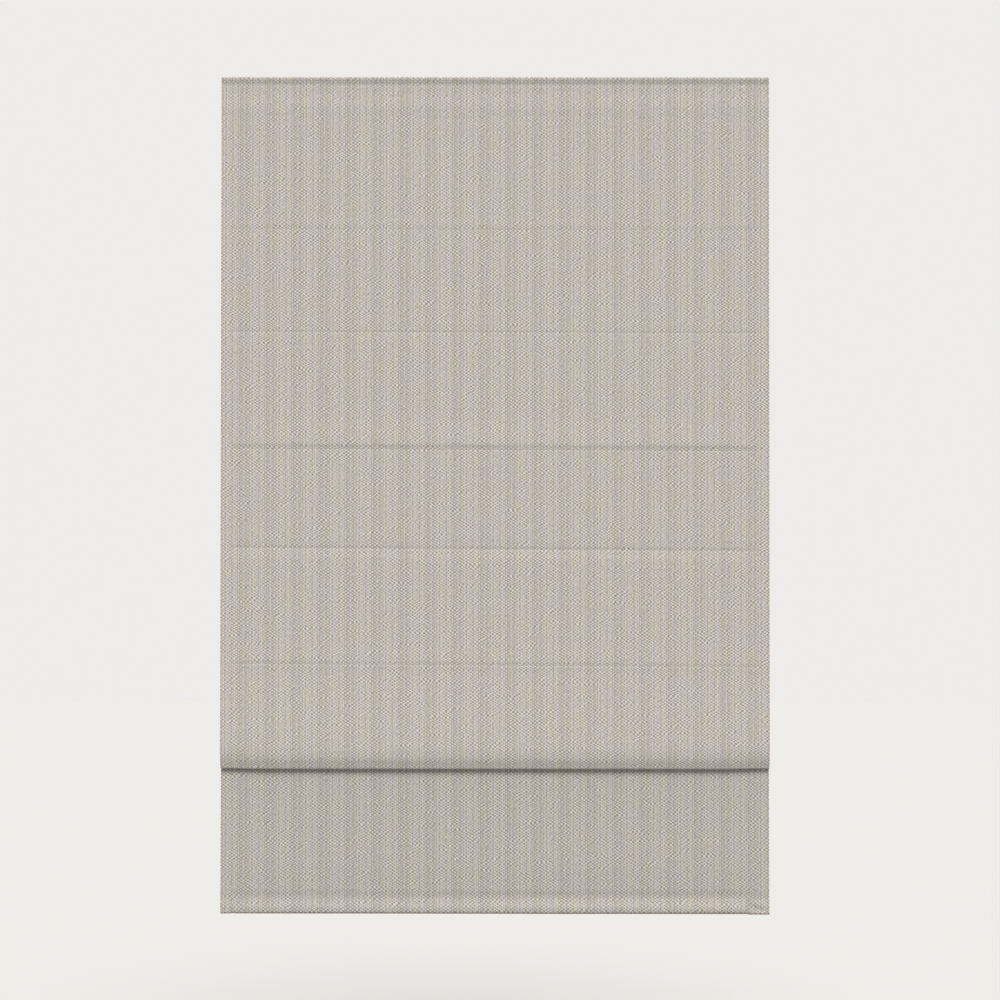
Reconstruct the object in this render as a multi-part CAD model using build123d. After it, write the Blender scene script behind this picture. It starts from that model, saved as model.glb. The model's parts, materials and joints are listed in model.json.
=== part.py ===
from build123d import *
import math
import os

# A cordless flat roman blind, 838 mm wide, hung with its lowest pleat gathered up.
# Millimetres. X runs along the blind, -Y faces the room and +Z is up. The origin is on the face that
# screws to the window head, midway along the blind and midway through the depth of its headrail.

# Cloth, as seen from the room. Drops are measured down from its top edge.
BLIND_WIDTH = 838.0
TOP_GAP = 2.0  # mounting face to the top edge of the cloth
HEM_DROP = 1277.0
FIRST_SEAM = 231.5  # drop of the highest back rod's seam
ROD_PITCH = 331.2  # from one back rod's seam to the next, along the cloth
FRONT_SEAM_DROP = 154.9  # from a back rod's seam to the front rod's seam below it
FOLD_DROP = 164.8  # from the third back seam to the lowest edge of the gathered pleat
BAR_SEAM_RISE = 23.0  # from the hem up to the seam over the bottom bar

# Cloth layers, from the front back
FACE = 1.2
LINING = 0.5
CLOTH_GAP = 0.3
POCKET_CLOTH = 0.4
SIDE_HEM = 15.0
TOP_HEM = 30.0
HEM_STACK = 2 * FACE + LINING + 2 * CLOTH_GAP

# How a gathered pleat lies behind the one above it
STACK_DROP = 7.0
STACK_BACK = 11.5

# Relief of the cloth: forward swells and backward dips at its seams
SWELLS = (0.2, 0.8, 0.6)
BACK_DIP = 0.4
FRONT_DIPS = (0.7, 1.0)
RAIL_SWELL = 3.2
TOP_STITCH_DEPTH = 0.2

# Gathered pleat
FOLD_LEAN = 14.0  # degrees that its front has turned under where the tight bend starts
FOLD_LEAN_HEIGHT = 36.0
FOLD_RADIUS = 5.2
FOLD_FORWARD = 1.5
CREST_RADIUS = 0.6
SKIRT_CLEARANCE = 0.45

# Headrail, a rolled channel with an open, lipped top
RAIL_DEPTH = 44.0
RAIL_HEIGHT = 46.0
RAIL_WALL = 0.8
RAIL_CORNER = 2.0
RAIL_INSET = 3.0  # end of the rail in from the edge of the cloth
LIP_WIDTH = 6.0
LIP_RETURN = 3.0
CAP_THICKNESS = 2.0
CAP_PLUG = 10.0
CAP_WALL = 1.6
PLUG_CLEARANCE = 0.2

# Mounting clips
CLIP_INSET = 119.0  # middle of each clip in from the edge of the cloth
CLIP_LENGTH = 30.0
CLIP_DEPTH = 40.0
CLIP_PLATE = 1.6
CLIP_LEG = 1.2
CLIP_CLEARANCE = 0.3
CLIP_TOE = 4.0
CLIP_CORNER = 3.0
SCREW_PITCH = 22.0
SCREW_HOLE_RADIUS = 2.25

# Hook and loop strips
STRIP_HEIGHT = 24.0
STRIP_DROP = 5.0  # top of the cloth to the top of the strips
STRIP_INSET = 8.0
HOOK_THICKNESS = 1.6
LOOP_THICKNESS = 1.4

# Back rods, their pockets and cord guides
BACK_ROD_RADIUS = 2.5
BACK_ROD_RISE = 6.0  # rod above its seam
ROD_CLEARANCE = 0.2
ROD_END_GAP = 4.0  # rod's end in from its pocket's end
POCKET_END_GAP = 0.5
POCKET_TAIL = 4.0  # pocket past its seam
EYE_LENGTH = 12.4
EYE_WIDTH = 5.0
EYE_WALL = 1.8
EYE_GAP = 1.2  # collar to the eye
TONGUE_THICKNESS = 2.0
COLLAR_WALL = 1.55
COLLAR_WIDTH = 7.0
COLLAR_CLEARANCE = 0.05
COLLAR_MOUTH = 2.4
COLLAR_SLOT = 0.5  # pocket's slot past the collar on each side
ANCHOR_HOLE_RADIUS = 0.9
ANCHOR_WIDTH = 6.0
ANCHOR_WALL = 2.0

# Front rods and their pockets
FRONT_ROD_RADIUS = 1.75
FRONT_ROD_DROP = 8.0
FRONT_ROD_CLEARANCE = 0.15
FRONT_TAIL_GAP = 1.3  # flat cloth to the pocket, which leaves room for the deepest dip
FOLD_ROD_SAG = 0.6

# Lift cords
CORD_RADIUS = 0.6
CORD_INSET = 134.0  # each cord in from the edge of the cloth
CORD_IN_EYE = 1.2  # cord to the back of its eyes
BEAD_RADIUS = 2.2
BEAD_HEIGHT = 4.4
BEAD_BORE = 0.7
BEAD_GAP = 0.1

# Lift rod along the headrail, with a spool over each cord and a spring motor between them
ROD_FLATS = 6.0
ROD_CORNERS = ROD_FLATS / math.sqrt(3)
ROD_END = 14.0  # rod past the middle of each cord
HEX_CLEARANCE = 0.05
SPOOL_RADIUS = 9.0  # middle of the cord as it winds
SPOOL_FLANGE_RADIUS = 12.0
SPOOL_FLANGE = 1.2
SPOOL_SPARE = 8.0  # drum that is left bare
SPOOL_SIDES = 24
JOURNAL_RADIUS = 5.0
BEARING_CLEARANCE = 0.08
RUNNING_GAP = 0.4
WINDING_TURNS = 7
CRADLE_WALL = 2.2
CRADLE_FLOOR = 1.5
CRADLE_WIDTH = 26.0
CRADLE_GRIP = 3.6  # cradle wall above the middle of the journal it holds
BUSH_BORE = 1.8
BUSH_RADIUS = 3.2
BUSH_STANDOUT = 0.8
BUSH_CLEARANCE = 0.1
MOTOR_LENGTH = 118.0
MOTOR_DEPTH = 34.0
MOTOR_HEIGHT = 32.0
MOTOR_CORNER = 3.0
MOTOR_LID = 2.0
MOTOR_RIM = 1.6

# Bottom bar
BAR_INSET = 26.5  # end of the bar in from the edge of the cloth, when it lies midway
BAR_SHIFT = -8.5  # the bar has slid to the left in its pocket
BAR_THICKNESS = 4.0
BAR_HEIGHT = 17.0
BAR_EDGE = 1.6
BAR_CAP = 3.0
BAR_CLEARANCE = 0.4
BAR_HEM_RADIUS = BAR_THICKNESS / 2 + BAR_CLEARANCE + FACE
BAR_TUCK = 0.4
BAR_SWELL = 1.1

# Places worked out from the sizes above
RAIL_TOP = -CLIP_PLATE
RAIL_BOTTOM = RAIL_TOP - RAIL_HEIGHT
RAIL_FLOOR = RAIL_BOTTOM + RAIL_WALL
RAIL_LENGTH = BLIND_WIDTH - 2 * RAIL_INSET
CLIP_X = BLIND_WIDTH / 2 - CLIP_INSET
CORD_X = BLIND_WIDTH / 2 - CORD_INSET
BAR_LENGTH = BLIND_WIDTH - 2 * BAR_INSET
CLOTH_Y = -RAIL_DEPTH / 2 - HOOK_THICKNESS - LOOP_THICKNESS - HEM_STACK
BACK_SEAMS = [FIRST_SEAM + i * ROD_PITCH for i in range(3)]
FRONT_SEAMS = [seam + FRONT_SEAM_DROP for seam in BACK_SEAMS[:2]]
FOLD_EDGE = BACK_SEAMS[2] + FOLD_DROP
GATHERED_SEAM = BACK_SEAMS[2] + STACK_DROP
BAR_SEAM = HEM_DROP - BAR_SEAM_RISE
CREASED_HALF = BLIND_WIDTH / 2 - SIDE_HEM
CLOTH_BACK = FACE + CLOTH_GAP + LINING
POCKET_HALF = CREASED_HALF - POCKET_END_GAP
ROD_HALF = POCKET_HALF - ROD_END_GAP
BACK_TUBE_RADIUS = BACK_ROD_RADIUS + ROD_CLEARANCE + POCKET_CLOTH
FRONT_TUBE_RADIUS = FRONT_ROD_RADIUS + FRONT_ROD_CLEARANCE + POCKET_CLOTH
BACK_TAIL_Y = CLOTH_Y + CLOTH_BACK + BACK_DIP + CLOTH_GAP
FRONT_TAIL_Y = CLOTH_Y + CLOTH_BACK + FRONT_TAIL_GAP
BACK_ROD_Y = BACK_TAIL_Y + BACK_TUBE_RADIUS
FRONT_ROD_Y = FRONT_TAIL_Y + FRONT_TUBE_RADIUS
COLLAR_RADIUS = BACK_ROD_RADIUS + COLLAR_CLEARANCE + COLLAR_WALL
ANCHOR_HEIGHT = 2 * COLLAR_RADIUS
CORD_Y = BACK_ROD_Y + COLLAR_RADIUS + EYE_GAP + EYE_LENGTH - CORD_IN_EYE
SPOOL_Y = CORD_Y + SPOOL_RADIUS
SPOOL_Z = RAIL_FLOOR + CRADLE_FLOOR + 2 * RUNNING_GAP + SPOOL_FLANGE_RADIUS
WINDING_HALF = WINDING_TURNS * CORD_RADIUS
SPOOL_OUTER = WINDING_HALF + CORD_RADIUS / 2 + SPOOL_FLANGE
SPOOL_INNER = WINDING_HALF + SPOOL_SPARE
JOURNAL_LENGTH = CRADLE_WALL + 2 * RUNNING_GAP
CORD_TOP = SPOOL_Z - 0.7 * SPOOL_RADIUS


def height(drop):
    """The Z of a drop measured down from the top edge of the cloth."""
    return -TOP_GAP - drop


class ClothLine:
    """The line that the front of the cloth follows through a cut across the blind.

    It is a chain of straight runs, slants and tangent arcs. The heading is in degrees: 0 is straight
    down, and it grows as the line turns to its left, which is the back of the cloth.
    """

    def __init__(self, y, z, heading):
        self.y = y
        self.z = z
        self.heading = heading
        self.legs = []
        self.marks = {}

    def mark(self, name):
        self.marks[name] = len(self.legs)

    def run(self, length):
        turn = math.radians(self.heading)
        start = (self.y, self.z, turn)
        self.y += length * math.sin(turn)
        self.z -= length * math.cos(turn)
        self.legs.append([start, (self.y, self.z, turn)])

    def bend(self, radius, angle):
        """An arc to the left by a positive angle, or to the right by a negative one."""
        side = math.copysign(radius, angle)
        turn = math.radians(self.heading)
        centre_y = self.y + side * math.cos(turn)
        centre_z = self.z + side * math.sin(turn)
        leg = []
        for share in (0, 0.5, 1):
            now = turn + math.radians(angle) * share
            leg.append((centre_y - side * math.cos(now), centre_z - side * math.sin(now), now))
        self.legs.append(leg)
        self.y, self.z, turned = leg[-1]
        self.heading = math.degrees(turned)

    def sidle(self, left, ahead):
        """A straight slant that carries the line sideways. Its corners are mitred later."""
        turn = math.radians(self.heading)
        slant = turn + math.atan2(left, ahead)
        start = (self.y, self.z, slant)
        self.y += left * math.cos(turn) + ahead * math.sin(turn)
        self.z += left * math.sin(turn) - ahead * math.cos(turn)
        self.legs.append([start, (self.y, self.z, slant)])

    def down_to(self, drop, depth):
        """On down to a drop and a depth behind the plane of the cloth."""
        left = CLOTH_Y + depth - self.y
        ahead = self.z - height(drop)
        if abs(left) < 1e-6:
            self.run(ahead)
        else:
            self.sidle(left, ahead)

    def strip(self, near, far, first="start", last="end"):
        """The face between two offsets behind the line, from one mark to another."""
        legs = self.legs[self.marks[first] : self.marks[last]]

        def place(point, offset, neighbour):
            """A point moved behind the line, on the mitre with the leg that it meets there."""
            y, z, turn = point
            mitre = (turn + neighbour[2]) / 2
            reach = offset / math.cos((turn - neighbour[2]) / 2)
            return (0, y + reach * math.cos(mitre), z + reach * math.sin(mitre))

        def along(number, offset):
            leg = legs[number]
            before = legs[number - 1][-1] if number else leg[0]
            after = legs[number + 1][0] if number + 1 < len(legs) else leg[-1]
            neighbours = [before] + leg[1:-1] + [after]
            points = [place(point, offset, neighbour) for point, neighbour in zip(leg, neighbours)]
            if len(points) == 2:
                return Edge.make_line(*points)
            return Edge.make_three_point_arc(*points)

        front = [along(number, near) for number in range(len(legs))]
        back = [along(number, far) for number in range(len(legs))]
        ends = [
            Edge.make_line(place(point, near, point), place(point, far, point))
            for point in (legs[0][0], legs[-1][-1])
        ]
        return Face(Wire(front + back + ends))


def cloth_line(creased):
    """The whole cloth, from the turned-in end of its top hem to the turned-in end of its bottom hem."""
    top_radius = HEM_STACK / 2
    line = ClothLine(CLOTH_Y + HEM_STACK, height(TOP_HEM), 180)
    line.mark("start")
    line.run(TOP_HEM - top_radius)
    line.bend(top_radius, 180)
    line.heading = 0
    line.down_to(3, 0)
    line.mark("lining top")
    if creased:
        line.down_to(6, TOP_STITCH_DEPTH)
        line.down_to(9, 0)
    line.down_to(16, 0)
    line.down_to(TOP_HEM + 3, -0.75 * RAIL_SWELL)
    line.mark("side hem top")
    line.down_to(RAIL_HEIGHT - 1, -RAIL_SWELL)
    line.down_to(RAIL_HEIGHT + 16, -0.5 * RAIL_SWELL)
    line.down_to(FIRST_SEAM - 31.5, 0)

    # Back seams stand under a swell, and front seams in a wider dip.
    if creased:
        for number, seam in enumerate(BACK_SEAMS):
            line.down_to(seam - 22, 0)
            line.down_to(seam - 7, -SWELLS[number])
            line.down_to(seam, BACK_DIP)
            line.down_to(seam + 9, 0)
            if number < len(FRONT_SEAMS):
                front = FRONT_SEAMS[number]
                line.down_to(front - 11, 0)
                line.down_to(front, FRONT_DIPS[number])
                line.down_to(front + 17, 0)
    else:
        line.down_to(BACK_SEAMS[2] + 9, 0)

    # The gathered pleat turns under, and comes up behind its own front.
    line.down_to(BACK_SEAMS[2] + 60, -FOLD_FORWARD)
    lean = math.radians(FOLD_LEAN)
    line.down_to(FOLD_EDGE - FOLD_LEAN_HEIGHT - FOLD_RADIUS * (1 - math.sin(lean)), -FOLD_FORWARD)
    lean_radius = FOLD_LEAN_HEIGHT / math.sin(lean)
    line.bend(lean_radius, 0.7 * FOLD_LEAN)
    line.mark("fold pocket")
    line.bend(lean_radius, 0.3 * FOLD_LEAN)
    line.bend(FOLD_RADIUS, 90 - FOLD_LEAN)
    line.mark("fold edge")
    rise = line.z + FOLD_RADIUS
    over = CLOTH_Y + STACK_BACK - 2 * CREST_RADIUS
    slant = math.degrees(math.atan2(line.y + FOLD_RADIUS - over, height(GATHERED_SEAM) - rise))
    line.bend(FOLD_RADIUS, 90 + slant)
    line.run((height(GATHERED_SEAM) - line.z) / math.cos(math.radians(slant)))
    line.bend(CREST_RADIUS, -180 - slant)
    line.heading = 0

    # The skirt passes behind the pleat and hangs to the bar.
    behind = FOLD_RADIUS + rise_depth() + SKIRT_CLEARANCE
    line.mark("skirt top")
    line.down_to(GATHERED_SEAM + 4, STACK_BACK)
    line.down_to(GATHERED_SEAM + 100, behind)
    line.down_to(FOLD_EDGE + 6, behind)
    line.down_to(BAR_SEAM - 14, STACK_BACK)
    line.mark("side hem end")
    line.down_to(BAR_SEAM - 2, STACK_BACK + BAR_TUCK)
    line.mark("lining end")
    line.down_to(BAR_SEAM + 2.5, STACK_BACK + BAR_TUCK - BAR_SWELL)
    line.down_to(HEM_DROP - BAR_HEM_RADIUS, STACK_BACK + BAR_TUCK - BAR_SWELL)
    line.bend(BAR_HEM_RADIUS, 180)
    line.heading = 180
    line.run(height(BAR_SEAM + 3) - line.z)
    tuck = line.y - (CLOTH_Y + STACK_BACK + BAR_TUCK + HEM_STACK)
    line.sidle(tuck, 8)
    line.run(4)
    line.mark("end")
    return line


def rise_depth():
    """How far behind the cloth's plane the middle of the fold's tight bend lies."""
    lean = math.radians(FOLD_LEAN)
    lean_radius = FOLD_LEAN_HEIGHT / math.sin(lean)
    return lean_radius * (1 - math.cos(lean)) - FOLD_FORWARD + FOLD_RADIUS * math.cos(lean)


CREASED = cloth_line(True)
PLAIN = cloth_line(False)


def slab(face, low, high):
    """A face in the YZ plane drawn out along X, from low to high."""
    return Pos(low, 0, 0) * extrude(face, high - low, dir=(1, 0, 0))


def both_sides(face, low, high):
    return slab(face, low, high) + slab(face, -high, -low)


def face_fabric():
    """The face cloth with its top hem, its side hems turned in behind the lining, and its bar pocket."""
    half = BLIND_WIDTH / 2
    cloth = slab(CREASED.strip(0, FACE), -CREASED_HALF, CREASED_HALF)
    cloth += both_sides(PLAIN.strip(0, FACE), CREASED_HALF, half)
    turned = PLAIN.strip(HEM_STACK - FACE, HEM_STACK, "side hem top", "side hem end")
    cloth += both_sides(turned, CREASED_HALF, half)
    edge = PLAIN.strip(FACE, HEM_STACK - FACE, "side hem top", "side hem end")
    cloth += both_sides(edge, half - FACE, half)
    return cloth


def lining():
    """The lining, which follows the face cloth and is held in its hems."""
    near = FACE + CLOTH_GAP
    half = BLIND_WIDTH / 2 - FACE - CLOTH_GAP
    cloth = slab(CREASED.strip(near, near + LINING, "lining top", "lining end"), -CREASED_HALF, CREASED_HALF)
    plain = PLAIN.strip(near, near + LINING, "lining top", "lining end")
    return cloth + both_sides(plain, CREASED_HALF, half)


def ring_section(y, z, outer, inner):
    """A round tube's section in the YZ plane."""
    return Plane.YZ * Pos(y, z) * (Circle(outer) - Circle(inner))


def pocket_section(y, z, radius):
    """A cloth tube's section: flat in front of its rod, and folded round behind it in five flats."""

    def rounded(size):
        front = Pos(-size / 2, 0) * Rectangle(size, 2 * size)
        return front + RegularPolygon(size, 8, major_radius=False, rotation=22.5)

    return Plane.YZ * Pos(y, z) * (rounded(radius) - rounded(radius - POCKET_CLOTH))


def upright(y, z, depth, tall):
    """A rectangle in the YZ plane, from its low corner."""
    return Plane.YZ * Pos(y + depth / 2, z + tall / 2) * Rectangle(depth, tall)


def back_rod_place(number):
    """The Y and Z of a back rod, counted from the top. The last is gathered behind the third."""
    if number < len(BACK_SEAMS):
        return BACK_ROD_Y, height(BACK_SEAMS[number] - BACK_ROD_RISE)
    return BACK_ROD_Y + STACK_BACK, height(GATHERED_SEAM - BACK_ROD_RISE)


def front_rod_place(number):
    """The Y and Z of a front rod. The last lies in the bottom of the gathered pleat."""
    if number < len(FRONT_SEAMS):
        return FRONT_ROD_Y, height(FRONT_SEAMS[number] + FRONT_ROD_DROP)
    return CLOTH_Y + rise_depth(), height(FOLD_EDGE - FOLD_RADIUS + FOLD_ROD_SAG)


def rod(place, radius):
    return slab(Plane.YZ * Pos(*place) * Circle(radius), -ROD_HALF, ROD_HALF)


def back_pocket(number):
    """A strip of lining cloth sewn along its foot, with a tube for the rod and a slot at each lift cord."""
    y, z = back_rod_place(number)
    hanging = BACK_ROD_RISE + POCKET_TAIL
    tail = upright(y - BACK_TUBE_RADIUS, z - hanging, POCKET_CLOTH, hanging)
    tube = pocket_section(y, z, BACK_TUBE_RADIUS)
    pocket = slab(tube, -POCKET_HALF, POCKET_HALF) + slab(tail, -POCKET_HALF, POCKET_HALF)
    slot = COLLAR_WIDTH + 2 * COLLAR_SLOT
    reach = 2 * BACK_TUBE_RADIUS
    for side in (-1, 1):
        middle = y - BACK_TUBE_RADIUS + POCKET_CLOTH + reach / 2
        pocket -= Pos(side * CORD_X, middle, z) * Box(slot, reach, reach + 1)
    return pocket


def front_pocket(number):
    """A strip sewn along its top, with a tube for the front rod at its foot."""
    y, z = front_rod_place(number)
    if number < len(FRONT_SEAMS):
        tube = pocket_section(y, z, FRONT_TUBE_RADIUS)
        tail = upright(y - FRONT_TUBE_RADIUS, z, POCKET_CLOTH, FRONT_ROD_DROP + POCKET_TAIL)
    else:
        tube = ring_section(y, z, FRONT_TUBE_RADIUS, FRONT_TUBE_RADIUS - POCKET_CLOTH)
        near = CLOTH_BACK + CLOTH_GAP
        tail = CREASED.strip(near, near + POCKET_CLOTH, "fold pocket", "fold edge")
    return slab(tube, -POCKET_HALF, POCKET_HALF) + slab(tail, -POCKET_HALF, POCKET_HALF)


def collar(width):
    """A clip that snaps on to a back rod from behind, centred on the rod."""
    section = upright(-COLLAR_MOUTH, -COLLAR_RADIUS, COLLAR_MOUTH + COLLAR_RADIUS, 2 * COLLAR_RADIUS)
    section -= Plane.YZ * Circle(BACK_ROD_RADIUS + COLLAR_CLEARANCE)
    body = slab(section, -width / 2, width / 2)
    return chamfer(body.edges().filter_by(Axis.X).group_by(Axis.Y)[-1], COLLAR_WALL)


def cord_guide():
    """A collar with a flat tongue behind it, whose oblong eye the lift cord runs through."""
    back = COLLAR_RADIUS + EYE_GAP + EYE_LENGTH + EYE_WALL
    wide = EYE_WIDTH + 2 * EYE_WALL
    root = BACK_ROD_RADIUS + COLLAR_WALL
    tongue = Pos(0, (root + back) / 2) * Rectangle(wide, back - root)
    tongue = chamfer(tongue.vertices().sort_by(Axis.Y)[-2:], wide / 4)
    eye = Pos(0, back - EYE_WALL - EYE_LENGTH / 2) * Rectangle(EYE_WIDTH, EYE_LENGTH)
    eye = chamfer(eye.vertices(), EYE_WIDTH / 4)
    return collar(COLLAR_WIDTH) + extrude(tongue - eye, TONGUE_THICKNESS / 2, both=True)


def cord_anchor():
    """A collar with a block behind it that the end of the lift cord is held in."""
    hole_y = CORD_Y - back_rod_place(3)[0]
    back = hole_y + ANCHOR_HOLE_RADIUS + ANCHOR_WALL
    front = COLLAR_RADIUS - COLLAR_WALL / 2
    block = Pos(0, (front + back) / 2, 0) * Box(ANCHOR_WIDTH, back - front, ANCHOR_HEIGHT)
    block = chamfer(block.edges().filter_by(Axis.Z).sort_by(Axis.Y)[-2:], ANCHOR_WIDTH / 4)
    anchor = collar(COLLAR_WIDTH) + block
    return anchor - Pos(0, hole_y, 0) * Cylinder(ANCHOR_HOLE_RADIUS, 2 * ANCHOR_HEIGHT)


def stop_bead():
    """The six-sided bead that the cord is knotted in, under its anchor."""
    bead = extrude(RegularPolygon(BEAD_RADIUS, 6), BEAD_HEIGHT / 2, both=True)
    return bead - Cylinder(BEAD_BORE, 2 * BEAD_HEIGHT)


def bead_z():
    return back_rod_place(3)[1] - ANCHOR_HEIGHT / 2 - BEAD_GAP - BEAD_HEIGHT / 2


def rail_section():
    """The headrail's rolled section: floor, walls, and lips turned in and down round its open top."""
    inner_depth = RAIL_DEPTH - 2 * RAIL_WALL
    inner_height = RAIL_HEIGHT - 2 * RAIL_WALL
    section = RectangleRounded(RAIL_DEPTH, RAIL_HEIGHT, RAIL_CORNER)
    section -= RectangleRounded(inner_depth, inner_height, RAIL_CORNER - RAIL_WALL)
    mouth = RAIL_DEPTH - 2 * LIP_WIDTH
    section -= Pos(0, RAIL_HEIGHT / 2) * Rectangle(mouth, 4 * RAIL_WALL)
    for side in (-1, 1):
        lip_y = side * (mouth + RAIL_WALL) / 2
        section += Pos(lip_y, (RAIL_HEIGHT - LIP_RETURN) / 2) * Rectangle(RAIL_WALL, LIP_RETURN)
    return Plane.YZ * Pos(0, RAIL_TOP - RAIL_HEIGHT / 2) * section


def headrail():
    rail = slab(rail_section(), -RAIL_LENGTH / 2, RAIL_LENGTH / 2)
    for side in (-1, 1):
        hole = Cylinder(BUSH_RADIUS + BUSH_CLEARANCE, 4 * RAIL_WALL)
        rail -= Pos(side * CORD_X, CORD_Y, RAIL_FLOOR) * hole
    return rail


def end_cap():
    """A moulded plug for the right-hand end of the rail, with an open box that grips its inside."""
    half = RAIL_LENGTH / 2
    middle = Pos(0, RAIL_TOP - RAIL_HEIGHT / 2)
    plate = Plane.YZ * middle * RectangleRounded(RAIL_DEPTH, RAIL_HEIGHT, RAIL_CORNER)
    fit = 2 * (RAIL_WALL + PLUG_CLEARANCE)
    plug_top = LIP_RETURN + PLUG_CLEARANCE
    tall = RAIL_HEIGHT - RAIL_WALL - PLUG_CLEARANCE - plug_top
    plug_z = RAIL_TOP - plug_top - tall / 2
    wide = RAIL_DEPTH - fit
    outline = Rectangle(wide, tall)
    hollow = Rectangle(wide - 2 * CAP_WALL, tall - 2 * CAP_WALL)
    plug = Plane.YZ * Pos(0, plug_z) * (chamfer(outline.vertices(), RAIL_CORNER / 2) - hollow)
    return slab(plate, half, half + CAP_THICKNESS) + slab(plug, half - CAP_PLUG, half)


def mounting_clip():
    """A spring plate that screws to the window head and holds the rail by its lips."""
    leg_y = RAIL_DEPTH / 2 - LIP_WIDTH - CLIP_CLEARANCE - CLIP_LEG
    toe_z = RAIL_TOP - LIP_RETURN - CLIP_CLEARANCE - CLIP_LEG
    section = upright(-CLIP_DEPTH / 2, -CLIP_PLATE, CLIP_DEPTH, CLIP_PLATE)
    section += upright(leg_y, toe_z, CLIP_LEG, -toe_z)
    section += upright(leg_y, toe_z, CLIP_LEG + CLIP_TOE, CLIP_LEG)
    section += upright(-leg_y - CLIP_LEG, toe_z, CLIP_LEG, -toe_z)
    section += upright(-leg_y - CLIP_LEG - CLIP_TOE, toe_z, CLIP_LEG + CLIP_TOE, CLIP_LEG)
    clip = slab(section, -CLIP_LENGTH / 2, CLIP_LENGTH / 2)
    for side in (-1, 1):
        hole = Cylinder(SCREW_HOLE_RADIUS, 4 * CLIP_PLATE)
        clip -= Pos(0, side * SCREW_PITCH / 2, 0) * hole
    corners = clip.edges().filter_by(Axis.Z).filter_by(lambda e: abs(e.center().Y) > CLIP_DEPTH / 2 - 0.1)
    return chamfer(corners, CLIP_CORNER)


def fastening_strip(y, thickness):
    half = BLIND_WIDTH / 2 - STRIP_INSET
    return slab(upright(y, height(STRIP_DROP + STRIP_HEIGHT), thickness, STRIP_HEIGHT), -half, half)


def along_x(radius, low, high):
    return slab(Plane.YZ * Pos(SPOOL_Y, SPOOL_Z) * Circle(radius), low, high)


def hexagon(growth):
    """The lift rod's section, or the hole that fits it with some growth."""
    return Plane.YZ * Pos(SPOOL_Y, SPOOL_Z) * RegularPolygon(ROD_CORNERS + growth, 6)


def lift_rod():
    end = CORD_X + ROD_END
    return slab(hexagon(0), -end, end)


def many_sided(radius):
    """The section of a spool's drum or flange, with enough flats to wind a cord evenly."""
    return Plane.YZ * Pos(SPOOL_Y, SPOOL_Z) * RegularPolygon(radius, SPOOL_SIDES)


def cord_spool():
    """The right-hand spool: a drum that the cord winds on, a flange, and a journal at each end."""
    inner = CORD_X - SPOOL_INNER
    outer = CORD_X + SPOOL_OUTER
    spool = slab(many_sided(SPOOL_RADIUS - CORD_RADIUS), inner, outer)
    spool += slab(many_sided(SPOOL_FLANGE_RADIUS), outer - SPOOL_FLANGE, outer)
    spool += along_x(JOURNAL_RADIUS, inner - JOURNAL_LENGTH, outer + JOURNAL_LENGTH)
    return spool - slab(hexagon(HEX_CLEARANCE), inner - SPOOL_INNER, outer + SPOOL_INNER)


def cord_winding():
    """The turns of cord on the right-hand spool, as one ring."""
    section = many_sided(SPOOL_RADIUS + CORD_RADIUS) - many_sided(SPOOL_RADIUS - CORD_RADIUS)
    return slab(section, CORD_X - WINDING_HALF, CORD_X + WINDING_HALF)


def spool_cradle():
    """The right-hand spool's moulded cradle: snap-in bearings, and a bush for the cord in its floor."""
    inner = CORD_X - SPOOL_INNER - RUNNING_GAP - CRADLE_WALL
    outer = CORD_X + SPOOL_OUTER + RUNNING_GAP + CRADLE_WALL
    floor = upright(SPOOL_Y - CRADLE_WIDTH / 2, RAIL_FLOOR, CRADLE_WIDTH, CRADLE_FLOOR)
    cradle = slab(floor, inner, outer)
    tall = SPOOL_Z + CRADLE_GRIP - RAIL_FLOOR
    wide = 2 * SPOOL_RADIUS
    wall = upright(SPOOL_Y - wide / 2, RAIL_FLOOR, wide, tall)
    wall -= Plane.YZ * Pos(SPOOL_Y, SPOOL_Z) * Circle(JOURNAL_RADIUS + BEARING_CLEARANCE)
    cradle += slab(wall, inner, inner + CRADLE_WALL) + slab(wall, outer - CRADLE_WALL, outer)
    foot = RAIL_BOTTOM - BUSH_STANDOUT
    deep = RAIL_FLOOR + CRADLE_FLOOR - foot
    bush = Pos(CORD_X, CORD_Y, foot + deep / 2)
    cradle += bush * extrude(RegularPolygon(BUSH_RADIUS, 12), deep / 2, both=True)
    return cradle - bush * Cylinder(BUSH_BORE, 2 * deep)


def motor_case():
    """The spring motor's closed case, with a rebate for its lid and a way through for the lift rod."""
    outline = RectangleRounded(MOTOR_LENGTH, MOTOR_DEPTH, MOTOR_CORNER)
    case = Pos(0, SPOOL_Y, RAIL_FLOOR) * extrude(outline, MOTOR_HEIGHT)
    lid_place = Pos(0, SPOOL_Y, RAIL_FLOOR + MOTOR_HEIGHT - MOTOR_LID)
    case -= lid_place * extrude(motor_lid_outline(0), MOTOR_LID)
    return case - along_x(ROD_CORNERS + RUNNING_GAP, -MOTOR_LENGTH, MOTOR_LENGTH)


def motor_lid_outline(gap):
    """The lid's outline, or its rebate's, in from the edge of the case by its rim and a gap."""
    shrink = 2 * (MOTOR_RIM + gap)
    return Rectangle(MOTOR_LENGTH - shrink, MOTOR_DEPTH - shrink)


def motor_lid():
    outline = motor_lid_outline(PLUG_CLEARANCE / 2)
    return Pos(0, SPOOL_Y, RAIL_FLOOR + MOTOR_HEIGHT - MOTOR_LID) * extrude(outline, MOTOR_LID)


def lift_cord():
    """The right-hand lift cord, pulled straight from its spool down through its guides to its bead."""
    length = CORD_TOP - bead_z() + BEAD_HEIGHT / 2
    cord = Pos(CORD_X, CORD_Y, CORD_TOP - length / 2) * Cylinder(CORD_RADIUS, length)
    print("cord has no bends; length", round(length, 1))
    return cord


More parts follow.
